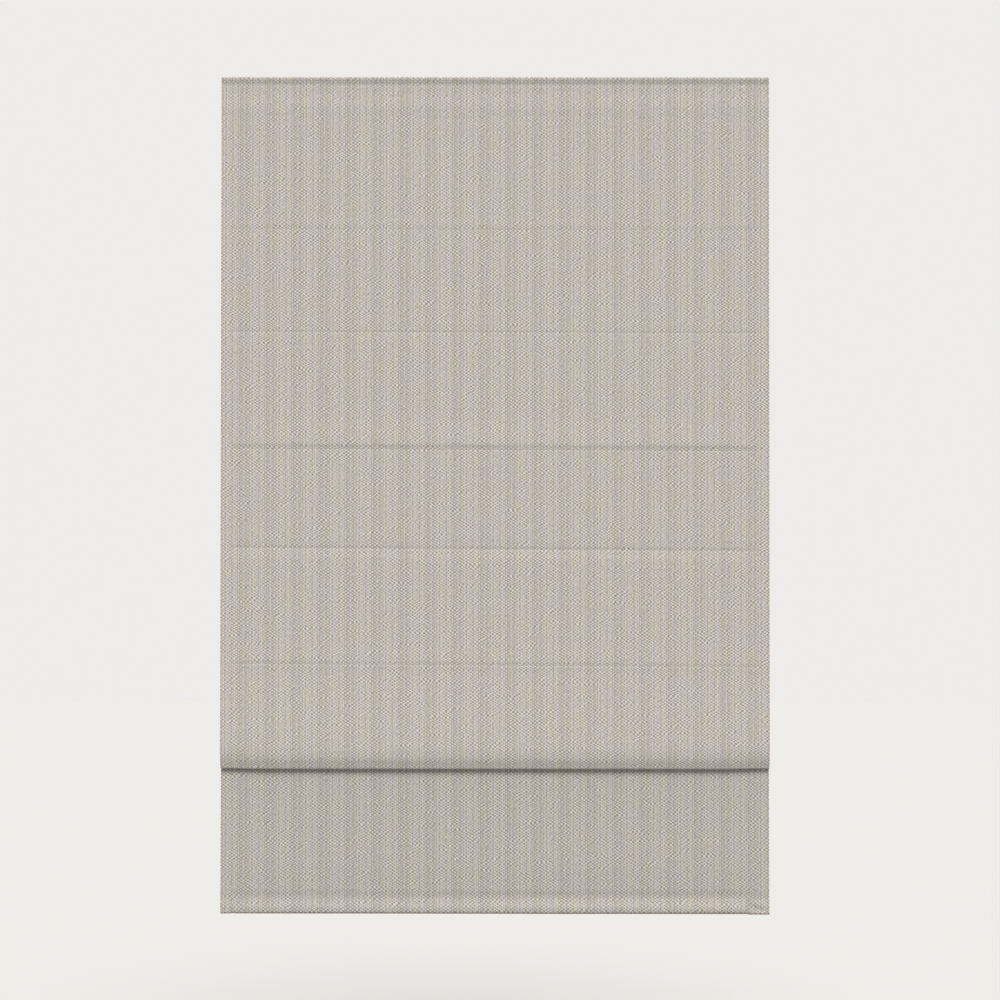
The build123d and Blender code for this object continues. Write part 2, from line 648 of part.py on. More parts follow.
def bar_middle():
    y = CLOTH_Y + STACK_BACK + BAR_TUCK - BAR_SWELL + BAR_HEM_RADIUS
    z = height(HEM_DROP) + FACE + BAR_CLEARANCE + BAR_HEIGHT / 2
    return y, z


def bottom_bar():
    section = Plane.YZ * Pos(*bar_middle()) * RectangleRounded(BAR_THICKNESS, BAR_HEIGHT, BAR_EDGE)
    half = BAR_LENGTH / 2 - BAR_CAP
    return slab(section, BAR_SHIFT - half, BAR_SHIFT + half)


def bar_cap(side):
    section = Plane.YZ * Pos(*bar_middle()) * RectangleRounded(BAR_THICKNESS, BAR_HEIGHT, BAR_EDGE)
    half = BAR_LENGTH / 2
    ends = sorted((BAR_SHIFT + side * (half - BAR_CAP), BAR_SHIFT + side * half))
    return slab(section, *ends)


def mirrored(piece):
    """The left-hand copy of a right-hand piece."""
    return mirror(piece, Plane.YZ)


def model():
    """Every node of the blind, by name."""
    nodes = {
        "headrail": headrail(),
        "mounting_clip_left": Pos(-CLIP_X, 0, 0) * mounting_clip(),
        "mounting_clip_right": Pos(CLIP_X, 0, 0) * mounting_clip(),
        "hook_strip": fastening_strip(-RAIL_DEPTH / 2 - HOOK_THICKNESS, HOOK_THICKNESS),
        "loop_strip": fastening_strip(CLOTH_Y + HEM_STACK, LOOP_THICKNESS),
        "face_fabric": face_fabric(),
        "lining": lining(),
        "lift_rod": lift_rod(),
        "motor_case": motor_case(),
        "motor_lid": motor_lid(),
        "bottom_bar": bottom_bar(),
        "bar_cap_left": bar_cap(-1),
        "bar_cap_right": bar_cap(1),
    }
    for name, piece in (
        ("end_cap", end_cap()),
        ("cord_spool", cord_spool()),
        ("cord_winding", cord_winding()),
        ("spool_cradle", spool_cradle()),
        ("lift_cord", lift_cord()),
    ):
        nodes[f"{name}_right"] = piece
        nodes[f"{name}_left"] = mirrored(piece)
    for side, name in ((-1, "left"), (1, "right")):
        nodes[f"stop_bead_{name}"] = Pos(side * CORD_X, CORD_Y, bead_z()) * stop_bead()
        y, z = back_rod_place(3)
        nodes[f"cord_anchor_{name}"] = Pos(side * CORD_X, y, z) * cord_anchor()
        for number in range(3):
            y, z = back_rod_place(number)
            nodes[f"cord_guide_{number + 1}_{name}"] = Pos(side * CORD_X, y, z) * cord_guide()
    for number in range(4):
        nodes[f"back_rod_{number + 1}"] = rod(back_rod_place(number), BACK_ROD_RADIUS)
        nodes[f"back_pocket_{number + 1}"] = back_pocket(number)
    for number in range(3):
        nodes[f"front_rod_{number + 1}"] = rod(front_rod_place(number), FRONT_ROD_RADIUS)
        nodes[f"front_pocket_{number + 1}"] = front_pocket(number)
    return nodes


os.makedirs("parts", exist_ok=True)
for name, piece in model().items():
    export_step(piece, f"parts/{name}.step")
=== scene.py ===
# %% [markdown]
# # A cordless roman blind in heavy woven cloth
#
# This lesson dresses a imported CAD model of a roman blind. The rigid parts, such as the headrail, rods and bottom
# bar, keep their CAD shapes and get finishes. The face cloth, lining, rod pockets and lift cords are made again as
# real cloth and cord, in the space that their solids hold. Blender's unit is the metre, but the shapes are worked
# out in millimetres, because that is how cloth is cut.

# %% Load the frame
import json
import math

import bmesh
import bpy
import numpy as np
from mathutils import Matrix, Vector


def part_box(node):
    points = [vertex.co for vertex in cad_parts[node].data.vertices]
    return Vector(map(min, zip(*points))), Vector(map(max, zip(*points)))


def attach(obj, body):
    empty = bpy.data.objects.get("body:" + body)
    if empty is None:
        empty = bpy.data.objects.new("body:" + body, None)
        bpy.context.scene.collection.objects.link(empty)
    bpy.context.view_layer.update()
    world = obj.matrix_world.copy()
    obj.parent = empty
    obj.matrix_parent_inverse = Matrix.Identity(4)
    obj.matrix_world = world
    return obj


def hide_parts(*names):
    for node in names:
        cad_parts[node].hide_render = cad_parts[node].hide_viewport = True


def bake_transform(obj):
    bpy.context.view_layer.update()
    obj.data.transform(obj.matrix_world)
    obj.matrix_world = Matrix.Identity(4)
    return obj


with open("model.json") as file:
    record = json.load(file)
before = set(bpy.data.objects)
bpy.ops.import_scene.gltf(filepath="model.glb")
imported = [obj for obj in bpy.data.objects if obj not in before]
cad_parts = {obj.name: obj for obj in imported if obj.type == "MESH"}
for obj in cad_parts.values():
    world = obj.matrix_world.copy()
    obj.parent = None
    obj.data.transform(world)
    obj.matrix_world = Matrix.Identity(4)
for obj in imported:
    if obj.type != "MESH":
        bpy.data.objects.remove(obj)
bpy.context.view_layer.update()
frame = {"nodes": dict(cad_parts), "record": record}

MM = 0.001

# %% [markdown]
# ## Reading the sizes of the blind
#
# Cloth hangs where its rods, rail and bar hold it. So each height and depth that it needs is read from the box
# of a CAD node, and nothing has to be fitted afterwards.

# %% Sizes and places, in millimetres


def corners(node):
    """The lowest and highest corner of a CAD node as two arrays, in millimetres."""
    low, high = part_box(node)
    return np.array(low) / MM, np.array(high) / MM


def middle(node):
    """The average of a CAD node's two corners."""
    low, high = corners(node)
    return (low + high) / 2


HALF = corners("face_fabric")[1][0]
TOP = corners("face_fabric")[1][2]
BOTTOM = corners("face_fabric")[0][2]
FACE, LINING, GAP = 1.2, 0.5, 0.3  # thickness of the two cloths, and the air between two layers
BELOW_ROD, ABOVE_ROD = 6, 8  # a back rod's seam lies below it and a front rod's seam above it
TOP_HEM, BAR_HEM, SIDE_FLAP = 30, 23, 15  # depths of the turned edges
STACK = 2 * FACE + LINING + 2 * GAP
FRONT_Y = corners("loop_strip")[0][1] - STACK
BACK_RODS = [middle(f"back_rod_{n}") for n in (1, 2, 3, 4)]
FRONT_RODS = [middle(f"front_rod_{n}") for n in (1, 2, 3)]
BACK_SEAMS = [TOP - (rod[2] - BELOW_ROD) for rod in BACK_RODS]
FRONT_SEAMS = [TOP - (rod[2] + ABOVE_ROD) for rod in FRONT_RODS[:2]]
STACK_BACK = BACK_RODS[3][1] - BACK_RODS[2][1]
FOLD_RADIUS = 5.2
FOLD_Y, FOLD_Z = FRONT_RODS[2][1], FRONT_RODS[2][2] + 0.6
BAR = middle("bottom_bar")
BAR_LOW, BAR_HIGH = corners("bar_cap_left")[0][0], corners("bar_cap_right")[1][0]
BAR_SEAM = TOP - BOTTOM - BAR_HEM
print("back seams at drops", np.round(BACK_SEAMS, 1), "and front seams at", np.round(FRONT_SEAMS, 1))

# %% [markdown]
# ## Camera
#
# The blind was photographed nearly straight on from far away, so its sides are almost parallel and only its
# front shows. A long lens gives that. It stands a little low, looks up by one degree and is rolled by a few
# hundredths of a degree. The distance and the lens are tied together, so that the frame's width at the cloth is a
# fixed number of millimetres.

# %% Camera
FRAME_WIDTH = 1526.6
DISTANCE = 4200.0
LOOK_UP, ROLL = math.radians(1.1), math.radians(-0.03)
AIM_RIGHT, AIM_DOWN = 7.6, 7.9
SENSOR = 36
camera = bpy.data.objects.new("camera", bpy.data.cameras.new("camera"))
bpy.context.scene.collection.objects.link(camera)
camera.data.sensor_width = SENSOR
camera.data.lens = SENSOR * DISTANCE / FRAME_WIDTH
aim = np.array([AIM_RIGHT, FRONT_Y, (TOP + BOTTOM) / 2 - AIM_DOWN])
camera.location = (aim - DISTANCE * np.array([0, math.cos(LOOK_UP), math.sin(LOOK_UP)])) * MM
camera.rotation_euler = (math.radians(90) + LOOK_UP, ROLL, 0)
camera.data.clip_end = 60
bpy.context.scene.camera = camera
bpy.context.scene.view_settings.view_transform = "Standard"
print("lens", round(camera.data.lens, 1), "mm at", DISTANCE / 1000, "m")

# %% [markdown]
# ## Light and the pale studio
#
# Light from above shows folds in cloth: what faces up is bright and what turns under is dark. A lamp close by
# would light the top of a tall blind more than its hem, so the main light is a sun with a wide, soft disc. The rest
# is a dome, brighter above than below. Together they render a colour on an upright surface about as it is written.
# The camera, and glossy and transmitted rays, see a plain pale background.

# %% Colours


def linear(hex_colour):
    """Linear RGBA of an sRGB hex colour: ((c + 0.055) / 1.055) to the power 2.4, or c / 12.92 where c is small."""
    srgb = np.array([int(hex_colour[i : i + 2], 16) for i in (1, 3, 5)]) / 255
    rgb = np.where(srgb <= 0.04045, srgb / 12.92, ((srgb + 0.055) / 1.055) ** 2.4)
    return (*rgb, 1.0)


def add(tree, kind, inputs=(), **settings):
    """Adds one shader node. Settings are its properties, and inputs are given in order or by name: numbers, colours,
    nodes, whose first output is linked, or one output of a node."""
    made = tree.nodes.new("ShaderNode" + kind)
    for name, value in settings.items():
        setattr(made, name, value)
    for key, value in (inputs if isinstance(inputs, dict) else dict(enumerate(inputs))).items():
        value = value.outputs[0] if isinstance(value, bpy.types.Node) else value
        if isinstance(value, bpy.types.NodeSocket):
            tree.links.new(value, made.inputs[key])
        else:
            made.inputs[key].default_value = value
    return made


def seen_directly(tree):
    """1 for camera, glossy and transmission rays, which see the studio itself, and 0 for all others."""
    rays = add(tree, "LightPath").outputs
    seen = add(tree, "Math", [rays["Is Camera Ray"], rays["Is Glossy Ray"]], operation="MAXIMUM")
    return add(tree, "Math", [seen, rays["Is Transmission Ray"]], operation="MAXIMUM")


def crossed(tree, ways):
    """The product of sine(2 pi * place / pitch + shift) over ways, which are (place, pitch in mm, shift)."""
    sines = []
    for place, pitch, shift in ways:
        phase = add(tree, "Math", [place, 2 * math.pi / (pitch * MM), shift], operation="MULTIPLY_ADD")
        sines.append(add(tree, "Math", [phase], operation="SINE"))
    return add(tree, "Math", sines, operation="MULTIPLY")


# %% World and lamps
BACKGROUND = "#EDECEA"
world = bpy.data.worlds.new("studio")
bpy.context.scene.world = world
world.use_nodes = True
tree = world.node_tree
tree.nodes.clear()
toward = add(tree, "SeparateXYZ", [add(tree, "TexCoord").outputs["Generated"]]).outputs[2]
dome = add(tree, "MapRange", [toward, -1.0, 1.0, 0.2, 0.78])
even = add(tree, "Background", [linear("#FFFDFB"), dome])
shown = add(tree, "Background", [linear(BACKGROUND), 1.0])
add(tree, "OutputWorld", [add(tree, "MixShader", [seen_directly(tree), even, shown])])


def sun(name, azimuth, elevation, strength, disc):
    """A distant lamp: azimuth 0 shines from the front, and disc is how wide it looks, in degrees."""
    light = bpy.data.lights.new(name, "SUN")
    light.energy, light.angle, light.color = strength, math.radians(disc), (1.0, 0.995, 0.985)
    made = bpy.data.objects.new(name, light)
    bpy.context.scene.collection.objects.link(made)
    made.rotation_euler = (math.radians(90 - elevation), 0, math.radians(azimuth))


sun("window_above", 4, 46, 2.40, 30)
sun("window_behind", 200, 40, 1.2, 28)

# %% [markdown]
# ## Floor
#
# The blind hangs in the air over a large round floor. A pale floor would throw more light up under the folds than
# a blind gets, so it shows pale to the camera, with the blind's shadow on it, and is dark to all other rays.

# %% Floor


def finish(name):
    """A new material with an empty node tree, and the tree."""
    material = bpy.data.materials.new(name)
    material.use_nodes = True
    material.node_tree.nodes.clear()
    return material, material.node_tree


def surface(tree, sockets):
    """Ends a finish with its Principled shader. Constants are set on the shader's own sockets."""
    shader = add(tree, "BsdfPrincipled", sockets)
    add(tree, "OutputMaterial", [shader])
    return shader


def to_object(name, points, faces, material, smooth=True):
    """Puts points in millimetres and faces of point numbers in a new mesh at the origin."""
    mesh = bpy.data.meshes.new(name)
    faces = faces.tolist() if isinstance(faces, np.ndarray) else faces
    mesh.from_pydata((points * MM).tolist(), [], faces)
    mesh.validate()
    if smooth:
        mesh.shade_smooth()
    mesh.materials.append(material)
    made = bpy.data.objects.new(name, mesh)
    bpy.context.scene.collection.objects.link(made)
    return made


FLOOR_RADIUS, FLOOR_Z, RIM_POINTS = 14000, BOTTOM - 420, 96
# Matt water-based paint without any gloss, rolled on evenly, so that its relief is too fine to show from here.
floor_paint, tree = finish("matt_floor_paint")
shades = {0: seen_directly(tree), 6: linear("#8A8A89"), 7: linear("#C9C8C6")}
paint = add(tree, "Mix", shades, data_type="RGBA")
surface(tree, {"Base Color": paint.outputs[2], "Roughness": 1.0, "Specular IOR Level": 0.0})
turn = np.linspace(0, 2 * np.pi, RIM_POINTS + 1)[:-1]
rim = np.stack([np.cos(turn) * FLOOR_RADIUS, np.sin(turn) * FLOOR_RADIUS, np.full(RIM_POINTS, FLOOR_Z)], axis=1)
to_object("floor", rim, [range(RIM_POINTS)], floor_paint)
print("floor at", round(FLOOR_Z), "mm")

# %% [markdown]
# ## The line that the cloth follows
#
# Seen from the side, the cloth is one long line: up inside the top hem, over the top edge, down the front to the
# gathered pleat, round under it and up behind, over a tight crest, down the skirt, round the bottom bar and up to
# the seam over it. A curve could be drawn by hand, but a chain of straight runs and arcs keeps each real size.
# Its length, sampled every quarter of a millimetre, is the cloth's own coordinate.

# %% Straight runs, arcs and easings
STEP = 0.25


def travelled(points):
    """The length of a path up to each of its points."""
    return np.concatenate([[0], np.cumsum(np.linalg.norm(np.diff(points, axis=0), axis=1))])


def straight(start, end):
    """Points from start towards end, without the end: start + (end - start) * share."""
    count = max(2, int(np.hypot(*(np.array(end) - start)) / STEP))
    share = np.linspace(0, 1, count, endpoint=False)[:, None]
    return np.array(start) * (1 - share) + np.array(end) * share


def arc(centre, radius, start, end):
    """Points of an arc in YZ by angle in degrees: centre + radius * (cosine, sine)."""
    count = max(4, int(radius * abs(math.radians(end - start)) / STEP))
    angle = np.radians(np.linspace(start, end, count, endpoint=False))
    return np.stack([centre[0] + radius * np.cos(angle), centre[1] + radius * np.sin(angle)], axis=1)


def eased(drop, places, depths):
    """A depth that eases from one given depth to the next by 3t^2 - 2t^3, where t is the share of the way."""
    places, depths = np.array(places, float), np.array(depths, float)
    after = np.clip(np.searchsorted(places, drop), 1, len(places) - 1)
    share = np.clip((drop - places[after - 1]) / (places[after] - places[after - 1]), 0, 1)
    return depths[after - 1] + (depths[after] - depths[after - 1]) * share**2 * (3 - 2 * share)


def fall(first, last, places, depths):
    """A hanging run from one drop to another, whose depth behind the front plane eases through the depths."""
    drop = np.arange(first, last, STEP)
    return np.stack([FRONT_Y + eased(drop, places, depths), TOP - drop], axis=1)


# %% The whole line, in the YZ plane
LEAN, LEAN_HEIGHT = 18.0, 31.0  # degrees that the cloth leans back over the fold, and over what height
CREST, HEM_RADIUS = 0.6, 3.6  # bends at the top of the skirt and round the bar
NIP = 0.4  # how much the bar's seam pulls the cloth in
level, upright = math.cos(math.radians(LEAN)), math.sin(math.radians(LEAN))
lean_radius = LEAN_HEIGHT / upright
FOLD_FORWARD = FRONT_Y - FOLD_Y + lean_radius - (lean_radius - FOLD_RADIUS) * level
lean_start = TOP - FOLD_Z + FOLD_RADIUS * upright - LEAN_HEIGHT
lean_middle = (FRONT_Y - FOLD_FORWARD + lean_radius, TOP - lean_start)
crest_middle = (FRONT_Y + STACK_BACK - CREST, TOP - BACK_SEAMS[3])
slant = math.degrees(math.atan2(FOLD_Y + FOLD_RADIUS - (crest_middle[0] - CREST), crest_middle[1] - FOLD_Z))
behind = FOLD_Y + FOLD_RADIUS - FRONT_Y + 0.45
bar_back = BAR[1] + HEM_RADIUS
tuck_back = FRONT_Y + STACK_BACK + NIP + STACK
hem_middle = (BAR[1], BOTTOM + HEM_RADIUS)
sloping = np.array([math.cos(math.radians(slant)), math.sin(math.radians(slant))])
up_start = np.array([FOLD_Y, FOLD_Z]) + FOLD_RADIUS * sloping
up_end = np.array(crest_middle) - CREST * sloping
runs = {
    "top hem": straight((FRONT_Y + STACK, TOP - TOP_HEM), (FRONT_Y + STACK, TOP - STACK / 2)),
    "top edge": arc((FRONT_Y + STACK / 2, TOP - STACK / 2), STACK / 2, 0, 180),
    "front": fall(STACK / 2, lean_start, [0, BACK_SEAMS[2] + 9, lean_start], [0, 0, -FOLD_FORWARD]),
    "lean": arc(lean_middle, lean_radius, 180, 180 + LEAN),
    "fold": arc((FOLD_Y, FOLD_Z), FOLD_RADIUS, 180 + LEAN, 270),
    "turn": arc((FOLD_Y, FOLD_Z), FOLD_RADIUS, 270, 360 + slant),
    "rise": straight(up_start, up_end),
    "crest": arc(crest_middle, CREST, 180 + slant, 0),
    "skirt": fall(BACK_SEAMS[3], TOP - hem_middle[1],
                  [BACK_SEAMS[3], BACK_SEAMS[3] + 100, TOP - FOLD_Z + 12, BAR_SEAM - 14, BAR_SEAM - 1, BAR_SEAM + 13],
                  [STACK_BACK, behind, behind, STACK_BACK, STACK_BACK + NIP, BAR[1] - HEM_RADIUS - FRONT_Y]),
    "hem": arc(hem_middle, HEM_RADIUS, 180, 360),
    "hem back": straight((bar_back, hem_middle[1]), (bar_back, TOP - BAR_SEAM - 3)),
    "hem tuck": straight((bar_back, TOP - BAR_SEAM - 3), (tuck_back, TOP - BAR_SEAM + 5)),
    "hem end": straight((tuck_back, TOP - BAR_SEAM + 5), (tuck_back, TOP - BAR_SEAM + 9)),
}
LINE = np.concatenate(list(runs.values()))
ALONG = travelled(LINE)
starts = np.cumsum([0] + [len(points) for points in runs.values()])
AT = {name: ALONG[start] for name, start in zip(runs, starts)}
AT["bar seam"] = AT["skirt"] + BAR_SEAM - BACK_SEAMS[3]

# Behind is the line's normal, smoothed over nine samples, so that the thickness turns evenly at each bend.
heading = np.unwrap(np.arctan2(np.gradient(LINE[:, 0], ALONG), -np.gradient(LINE[:, 1], ALONG)))
spread = np.hanning(9) / np.hanning(9).sum()
heading[4:-4] = np.convolve(heading, spread, "valid")
BEHIND = np.stack([np.cos(heading), np.sin(heading)], axis=1)
BEND = np.abs(np.gradient(heading, ALONG))
print("cloth is", round(ALONG[-1]), "mm long; the pleat turns under at", round(AT["turn"]))

# %% [markdown]
# ## Relief on the cloth
#
# Each rod's pocket has a seam that pulls the cloth in a little, and the cloth swells above it. The seams stop at
# the side hems, and they don't run quite level, because the two lift cords aren't quite even. Relief is a height
# in front of the line, eased between a few points per seam. It changes slowly from side to side by a sum of
# cosines with seeded phases.

# %% Relief and tilt
FLAT = AT["front"] - STACK / 2  # the cloth's own coordinate of a drop of 0
SEAM_RELIEF = [
    # drop of the seam, how much lower it is at the right edge, and (distance below, height) pairs
    (BACK_SEAMS[0] + 0.4, 2.4, [(-18, 0), (-6, 0.17), (-1, -0.06), (0.5, -0.18), (3, -0.05), (12, 0)]),
    (FRONT_SEAMS[0] + 2.9, 2.3, [(-12, 0), (-2.5, -0.08), (0.5, -0.45), (4, -0.1), (17, 0.05), (50, 0)]),
    (BACK_SEAMS[1] + 6.2, 3.5, [(-50, 0), (-8, 1.05), (-0.5, -0.14), (0.5, -0.34), (3, 0), (26, 0)]),
    (FRONT_SEAMS[1] + 4, 5.0, [(-16, 0), (-5, -0.25), (0, -0.95), (3.5, -0.4), (17, 0.4), (80, 0)]),
    (BACK_SEAMS[2] + 4.2, 5.5, [(-36, 0), (-5, 0.4), (-0.5, -0.04), (0.5, -0.14), (3, 0.16), (12, -0.1), (36, 0)]),
]
# From the top edge down: the rolled edge, its stitches, and the hem's end behind.
TOP_RELIEF = [(0, 1.7), (3, 1.4), (6, 0.5), (9, -0.2), (11.5, -0.45), (14.5, -0.1), (20, 0), (44, 1.2), (66, 0.5),
              (110, 0)]
# From the bar's seam down, over the bar and beyond its two ends.
HEM_RELIEF = [(-110, 0), (-45, 0.7), (-14, 0.2), (-3, -0.5), (0, -0.45), (5, 0.05), (17, 1.75), (21, 1.6),
              (25, 1.2), (29, 0.8), (34, 0)]
CORNER_RELIEF = [(0, 0), (12, 0.5), (19, 0.4), (23, 1.7), (26, 1.5), (29, 0.3), (32, 0)]
# From the start of the gathered pleat's tight bend, and what is added at the pleat's flatter ends.
FOLD_RELIEF = [(-14, 0), (-2, -1.1), (8, -1.1), (26, 0)]
FOLD_CORNER = [(-40, 0), (-4, -1.2), (8, -1.2), (20, 0)]
BAR_CREASE = [(-2.6, 0), (-1.1, 1), (0.6, 1), (2.4, 0)]  # across the blind, beside each end of the bar


def wander(x, seed, longest):
    """A slow change from side to side, from -1 to 1: the mean of five cosines with seeded phases."""
    random = np.random.default_rng(seed)
    waves = [np.cos(2 * np.pi * x / (longest / (k + 1)) + random.uniform(0, 2 * np.pi)) / (1 + k / 2)
             for k in range(5)]
    return sum(waves) / 3


def tilt(along):
    """How much lower the right edge is than the left at a place along the cloth, from seam to seam."""
    places = [FLAT] + [FLAT + seam for seam, _, _ in SEAM_RELIEF] + [AT["fold"]]
    return np.interp(along, places, [0] + [lower for _, lower, _ in SEAM_RELIEF] + [1.5], right=0)


def on_line(along, x):
    """The line's (y, z), and its way behind (y, z), at places along the cloth, lower to the right by the tilt."""
    moved = along + tilt(along) * x / HALF / 2
    return [np.interp(moved, ALONG, values) for values in (*LINE.T, *BEHIND.T)]


def relief(along, x):
    """Height in front of the line: the eased points of every seam and edge, each times its slow change from side to
    side, plus the cloth's own slow waves."""
    creased = 1 - eased(np.abs(x), [HALF - 24, HALF - 12], [0, 1])
    high = eased(along - FLAT, *zip(*TOP_RELIEF)) * (1 + 0.12 * wander(x, 3, 700))
    for number, (seam, _, points) in enumerate(SEAM_RELIEF):
        below = along - FLAT - seam
        shape = eased(below, *zip(*points))
        pucker = 0.05 * np.sin(x / 1.9 + wander(x, 40 + number, 90) * 3) * np.exp(-np.abs(below) / 5)
        high = high + creased * (shape * (1 + 0.3 * wander(x, 10 + number, 500)) + pucker)
    slow = 0.25 * wander(x, 71, 900) * np.sin(along / 190) + 0.12 * wander(x, 72, 400) * np.cos(along / 110)
    fade = eased(along - FLAT, [0, 120, AT["lean"] - FLAT - 60, AT["lean"] - FLAT], [0, 1, 1, 0])

    # The bar swells the hem as far as its two ends. Each has a crease beside it, and beyond it the hem is flat.
    on_bar = eased(x, [BAR_LOW - 5, BAR_LOW + 3, BAR_HIGH - 3, BAR_HIGH + 5], [0, 1, 1, 0])
    below = along - AT["bar seam"]
    swell = eased(below, *zip(*HEM_RELIEF)) * (1 + 0.15 * wander(x, 5, 600) + 0.3 * x / HALF)
    corner = eased(below, *zip(*CORNER_RELIEF)) * (1 + 0.4 * x / HALF)
    crease = eased(x - BAR_LOW, *zip(*BAR_CREASE)) + eased(BAR_HIGH - x, *zip(*BAR_CREASE))
    hem = swell * on_bar + corner * (1 - on_bar) - crease * eased(below, [0, 8, 22, 27], [0, 1.6, 1.4, 0])

    # At the right corner a slanting crease runs down from the bar's end to the side.
    pulled = eased(x - BAR_HIGH - (below - 7) * 1.9, [-12, 0, 8], [0, 1, 0])
    pulled = pulled * eased(x, [BAR_HIGH, BAR_HIGH + 8], [0, 1])
    hem = hem - 1.3 * pulled * eased(below, [0, 5, 16, 22], [0, 1, 1, 0])

    ends = eased(np.abs(x), [HALF - 75, HALF - 10], [0, 1])
    fold = eased(along - AT["fold"], *zip(*FOLD_RELIEF)) + ends * eased(along - AT["fold"], *zip(*FOLD_CORNER))
    return high + slow * fade + hem + fold


print("seams fall to the right by", [lower for _, lower, _ in SEAM_RELIEF], "mm")

# %% [markdown]
# ## The cloth's own finish
#
# The face cloth is a thick yarn-dyed cotton and polyester weave. Its slub yarns float over each other in turn, so
# it reads as a fine lattice of light and dark dots. Some warp ends are paler and some greyer, which gives faint
# upright streaks. An image would repeat and blur, so the weave is worked out from the cloth's own UV map, which is
# in metres and runs on from panel to panel.

# %% Woven face cloth
WARP_REPEAT, WARP_ENDS = 40.9, 30  # the warp's stripes repeat over 30 ends
FLOAT_ACROSS, FLOAT_ALONG = 6.8, 4.8  # one light and one dark dot, across and along the cloth
DOTS, STRIPES, SLUBS = 0.68, 0.46, 0.95  # how much each of them moves the mix of the two yarns


def woven_cloth():
    """The weave is sine(across) * sine(along), with a wandering phase, plus a random level per warp end."""
    material, tree = finish("yarn_dyed_slub_weave")
    place = add(tree, "UVMap", uv_map="cloth")
    across, along = add(tree, "SeparateXYZ", [place]).outputs[:2]

    # Four noises, each with its own number of grains per metre across and along the cloth.
    drift, patch, slub, band = (
        add(tree, "TexNoise", {"Vector": add(tree, "Mapping", {"Vector": place, "Scale": (*grains, 1)}), "Scale": 1.0,
                               "Detail": detail}, noise_dimensions="2D")
        for grains, detail in (((35, 90), 1.0), ((62, 24), 1.0), ((560, 210), 2.0), ((110, 20), 1.0)))

    # Yarns are never quite evenly spaced, so the phase of the weave wanders.
    over, under = (add(tree, "Math", [drift, share], operation="MULTIPLY") for share in (2.5, 9.0))
    lattice = crossed(tree, [(across, FLOAT_ACROSS, over), (along, FLOAT_ALONG, under)])

    # The two yarns differ more in some long patches, and least near the top, where the hem was pressed flat.
    strong = add(tree, "MapRange", [patch, 0.3, 0.68, 0.3, 1.5])
    pressed = add(tree, "MapRange", [along, FLAT * MM, (FLAT + 230) * MM, 0.5, 1.0])
    strong = add(tree, "Math", [strong, pressed], operation="MULTIPLY")
    dots = add(tree, "Math", [lattice, strong], operation="MULTIPLY")

    # Each warp end has its own level, and the row of ends repeats.
    end = add(tree, "Math", [across, WARP_ENDS / (WARP_REPEAT * MM)], operation="MULTIPLY")
    end = add(tree, "Math", [add(tree, "Math", [end], operation="FLOOR"), WARP_ENDS], operation="FLOORED_MODULO")
    level = add(tree, "TexWhiteNoise", {"W": end}, noise_dimensions="1D").outputs["Value"]

    # Slubs are short thick places in a yarn, longer along the warp than across it.
    mix = 0.5 - 0.5 * STRIPES - 0.5 * SLUBS
    for value, weight in ((dots, DOTS), (level, STRIPES), (slub, SLUBS)):
        mix = add(tree, "Math", [value, weight, mix], operation="MULTIPLY_ADD")
    yarn = add(tree, "Mix", {0: mix, 6: linear("#98928C"), 7: linear("#DBD5D0")}, data_type="RGBA")

    # Some ends were dyed warmer and some greyer. Each shows for a hand's length, then dives to the back.
    band = add(tree, "MapRange", [band, 0.36, 0.64, 0.0, 1.0])
    tint = add(tree, "Mix", {0: band, 6: linear("#FFFDF6"), 7: linear("#FEFBFF")}, data_type="RGBA")
    dyed = add(tree, "Mix", {0: 1.0, 6: yarn.outputs[2], 7: tint.outputs[2]}, data_type="RGBA", blend_type="MULTIPLY")

    # Painted shade: from the pleat's turn to its crest the colour darkens to 0.91, and stays so below, for the shade
    # of the gathered pleat on the skirt. The top 12 mm are painted 0.955 as dark, easing to full colour at 45 mm, as
    # painted shade at the top edge.
    painted_shade = add(tree, "MapRange", [along, AT["turn"] * MM, AT["crest"] * MM, 1.0, 0.91])
    # Painted shade along the top edge, darkest at the top and gone 45 mm down.
    painted_top_shade = add(tree, "MapRange", [along, (FLAT + 12) * MM, (FLAT + 45) * MM, 0.955, 1.0])
    painted_shade = add(tree, "Math", [painted_shade, painted_top_shade], operation="MULTIPLY")
    shaded = add(tree, "VectorMath", {0: dyed.outputs[2], "Scale": painted_shade}, operation="SCALE")

    height = add(tree, "Math", [lattice, 0.5, slub], operation="MULTIPLY_ADD")
    bump = add(tree, "Bump", {"Height": height, "Strength": 0.5, "Distance": 0.2 * MM})
    surface(tree, {"Base Color": shaded, "Normal": bump, "Roughness": 0.92, "Specular IOR Level": 0.2,
                   "Sheen Weight": 0.15, "Sheen Roughness": 0.5})
    return material


FACE_CLOTH = woven_cloth()
print("weave dots every", FLOAT_ACROSS, "by", FLOAT_ALONG, "mm")

# %% [markdown]
# ## Lining
#
# Behind the face cloth hangs a thin sateen lining with a soft sheen. Its threads, a third of a millimetre apart,
# are too fine to show, so they are drawn a millimetre apart and very faint.

# %% Sateen lining cloth


